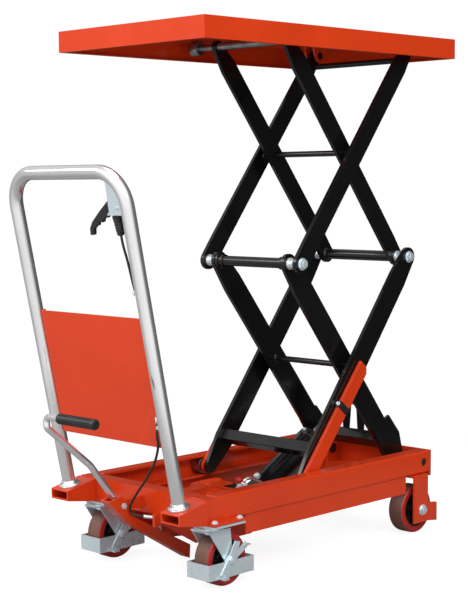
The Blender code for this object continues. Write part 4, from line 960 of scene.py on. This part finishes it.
# ---- stage ---------------------------------------------------------------------------------
def eased(nodes, links, source, edges):
    """A smooth step of a value; edges are from-low, from-high, to-low and to-high."""
    node = nodes.new("ShaderNodeMapRange")
    node.interpolation_type = "SMOOTHSTEP"
    for socket, number in zip(("From Min", "From Max", "To Min", "To Max"), edges):
        node.inputs[socket].default_value = number
    links.new(source, node.inputs["Value"])
    return node.outputs["Result"]


def floor_material():
    """A pale grey that fades out towards its rim and glows for the eye alone."""
    mat = bpy.data.materials.new("pale_floor")
    mat.use_nodes = True
    nodes, links = mat.node_tree.nodes, mat.node_tree.links
    shader = nodes["Principled BSDF"]
    shader.inputs["Base Color"].default_value = (0.26, 0.26, 0.26, 1.0)
    shader.inputs["Roughness"].default_value = 0.8
    shader.inputs["Emission Color"].default_value = (1.0, 1.0, 1.0, 1.0)
    glow = nodes.new("ShaderNodeMath")
    glow.operation = "MULTIPLY"
    glow.inputs[1].default_value = FLOOR_GLOW
    links.new(nodes.new("ShaderNodeLightPath").outputs["Is Camera Ray"], glow.inputs[0])
    links.new(glow.outputs["Value"], shader.inputs["Emission Strength"])
    away = nodes.new("ShaderNodeVectorMath")
    away.operation = "LENGTH"
    links.new(nodes.new("ShaderNodeTexCoord").outputs["Object"], away.inputs[0])
    edges = (FLOOR_RADIUS * 0.55, FLOOR_RADIUS * 0.98, 1.0, 0.0)
    links.new(eased(nodes, links, away.outputs["Value"], edges), shader.inputs["Alpha"])
    return mat


def stage():
    """A pale round of floor."""
    bm = bmesh.new()
    bmesh.ops.create_circle(bm, cap_ends=True, segments=96, radius=FLOOR_RADIUS)
    floor = from_bmesh("floor", bm)
    bpy.context.scene.collection.objects.link(floor)
    floor.data.materials.append(floor_material())
    floor.location = (MIDDLE_X - 0.05, 0.0, -0.0005)


def area_light(name, place, target, size, energy):
    light = bpy.data.lights.new(name, "AREA")
    light.shape = "RECTANGLE"
    light.size, light.size_y = size
    light.energy = energy
    obj = bpy.data.objects.new(name, light)
    obj.location = place
    obj.rotation_euler = (Vector(target) - Vector(place)).to_track_quat("-Z", "Y").to_euler()
    bpy.context.scene.collection.objects.link(obj)


def lights():
    """A key from the right, a strip and a rim from the left, and a soft top."""
    focus = (MIDDLE_X, 0.0, 0.55)
    area_light("key", (-1.1, -2.8, 2.4), (MIDDLE_X, 0.0, 0.75), (1.2, 1.0), 34)
    area_light("left_strip", (-3.6, 1.0, 2.2), focus, (0.7, 1.7), 25)
    area_light("top", (0.2, 0.2, 4.6), focus, (2.2, 2.2), 54)
    area_light("rim", (-2.7, 2.3, 2.6), focus, (1.8, 1.1), 36)


def zone(nodes, links, where, direction, edges):
    """A smooth step that follows how close a ray comes to a direction."""
    toward = nodes.new("ShaderNodeVectorMath")
    toward.operation = "DOT_PRODUCT"
    toward.inputs[1].default_value = direction
    links.new(where, toward.inputs[0])
    return eased(nodes, links, toward.outputs["Value"], edges)


def sky(nodes, links, where):
    """Grey that grows brighter with height."""
    split = nodes.new("ShaderNodeSeparateXYZ")
    links.new(where, split.inputs["Vector"])
    scale = nodes.new("ShaderNodeMapRange")
    scale.inputs["From Min"].default_value = -1.0
    links.new(split.outputs["Z"], scale.inputs["Value"])
    height = nodes.new("ShaderNodeValToRGB")
    links.new(scale.outputs["Result"], height.inputs["Fac"])
    stops = height.color_ramp.elements
    stops[0].color = (0.12, 0.12, 0.12, 1.0)
    stops[1].color = (0.62, 0.62, 0.62, 1.0)
    for position, value in ((0.40, 0.42), (0.55, 0.42), (0.66, 0.50), (0.80, 0.60)):
        stops.new(position).color = (value, value, value * 1.01, 1.0)
    return height.outputs["Color"]


def world():
    """White to the eye; for light and reflections a studio, dim past the far end, bright near the eye."""
    made = bpy.data.worlds.new("studio")
    bpy.context.scene.world = made
    made.use_nodes = True
    nodes, links = made.node_tree.nodes, made.node_tree.links
    nodes.clear()
    where = nodes.new("ShaderNodeTexCoord").outputs["Generated"]
    total = nodes.new("ShaderNodeMath")
    total.operation = "ADD"
    links.new(zone(nodes, links, where, (0.992, -0.12, -0.05), (0.25, 0.60, 1.0, 0.09)), total.inputs[0])
    links.new(zone(nodes, links, where, (-0.80, -0.60, 0.05), (-0.30, 0.95, 0.0, 1.6)), total.inputs[1])
    studio = nodes.new("ShaderNodeBackground")
    links.new(sky(nodes, links, where), studio.inputs["Color"])
    links.new(total.outputs["Value"], studio.inputs["Strength"])
    seen = nodes.new("ShaderNodeBackground")
    seen.inputs["Color"].default_value = (1.0, 1.0, 1.0, 1.0)
    seen.inputs["Strength"].default_value = 1.02
    mix = nodes.new("ShaderNodeMixShader")
    links.new(nodes.new("ShaderNodeLightPath").outputs["Is Camera Ray"], mix.inputs["Fac"])
    links.new(studio.outputs["Background"], mix.inputs[1])
    links.new(seen.outputs["Background"], mix.inputs[2])
    output = nodes.new("ShaderNodeOutputWorld")
    links.new(mix.outputs["Shader"], output.inputs["Surface"])


def camera():
    """Off the corner between the handle end and the right side, looking slightly down."""
    data = bpy.data.cameras.new("camera")
    data.lens = 88.79
    data.sensor_width = 36.0
    data.shift_x = 0.0124
    data.shift_y = 0.0478
    data.clip_end = 100.0
    obj = bpy.data.objects.new("camera", data)
    bpy.context.scene.collection.objects.link(obj)
    bpy.context.scene.camera = obj
    azimuth, elevation, roll = math.radians(44.925), math.radians(-5.718), math.radians(-0.508)
    level = Vector((math.cos(azimuth), math.sin(azimuth), 0.0))
    look = level * math.cos(elevation) + Vector((0.0, 0.0, math.sin(elevation)))
    turn = look.to_track_quat("-Z", "Y").to_matrix().to_4x4() @ Matrix.Rotation(roll, 4, "Z")
    obj.matrix_world = Matrix.Translation(at(-2.7176, -2.5682, 0.9292)) @ turn


camera()
dress_kept_nodes()
push_handle()
release_cable()
lever_boot()
cable_fittings()
lever_pin()
for wheel_side in SIDES:
    caster(wheel_side)
    fixed_wheel(wheel_side)
shafts()
knuckle_bolts()
safety_straps()
base_pins()
rollers()
ram_barrel()
ram_rod()
pump_fittings()
pressure_pipe()
plunger()
pump_cover()
pedal_rod()
pedal_grip()
pedal_pin()
chassis_welds()
stage()
lights()
world()
bpy.context.scene.view_settings.view_transform = "Standard"
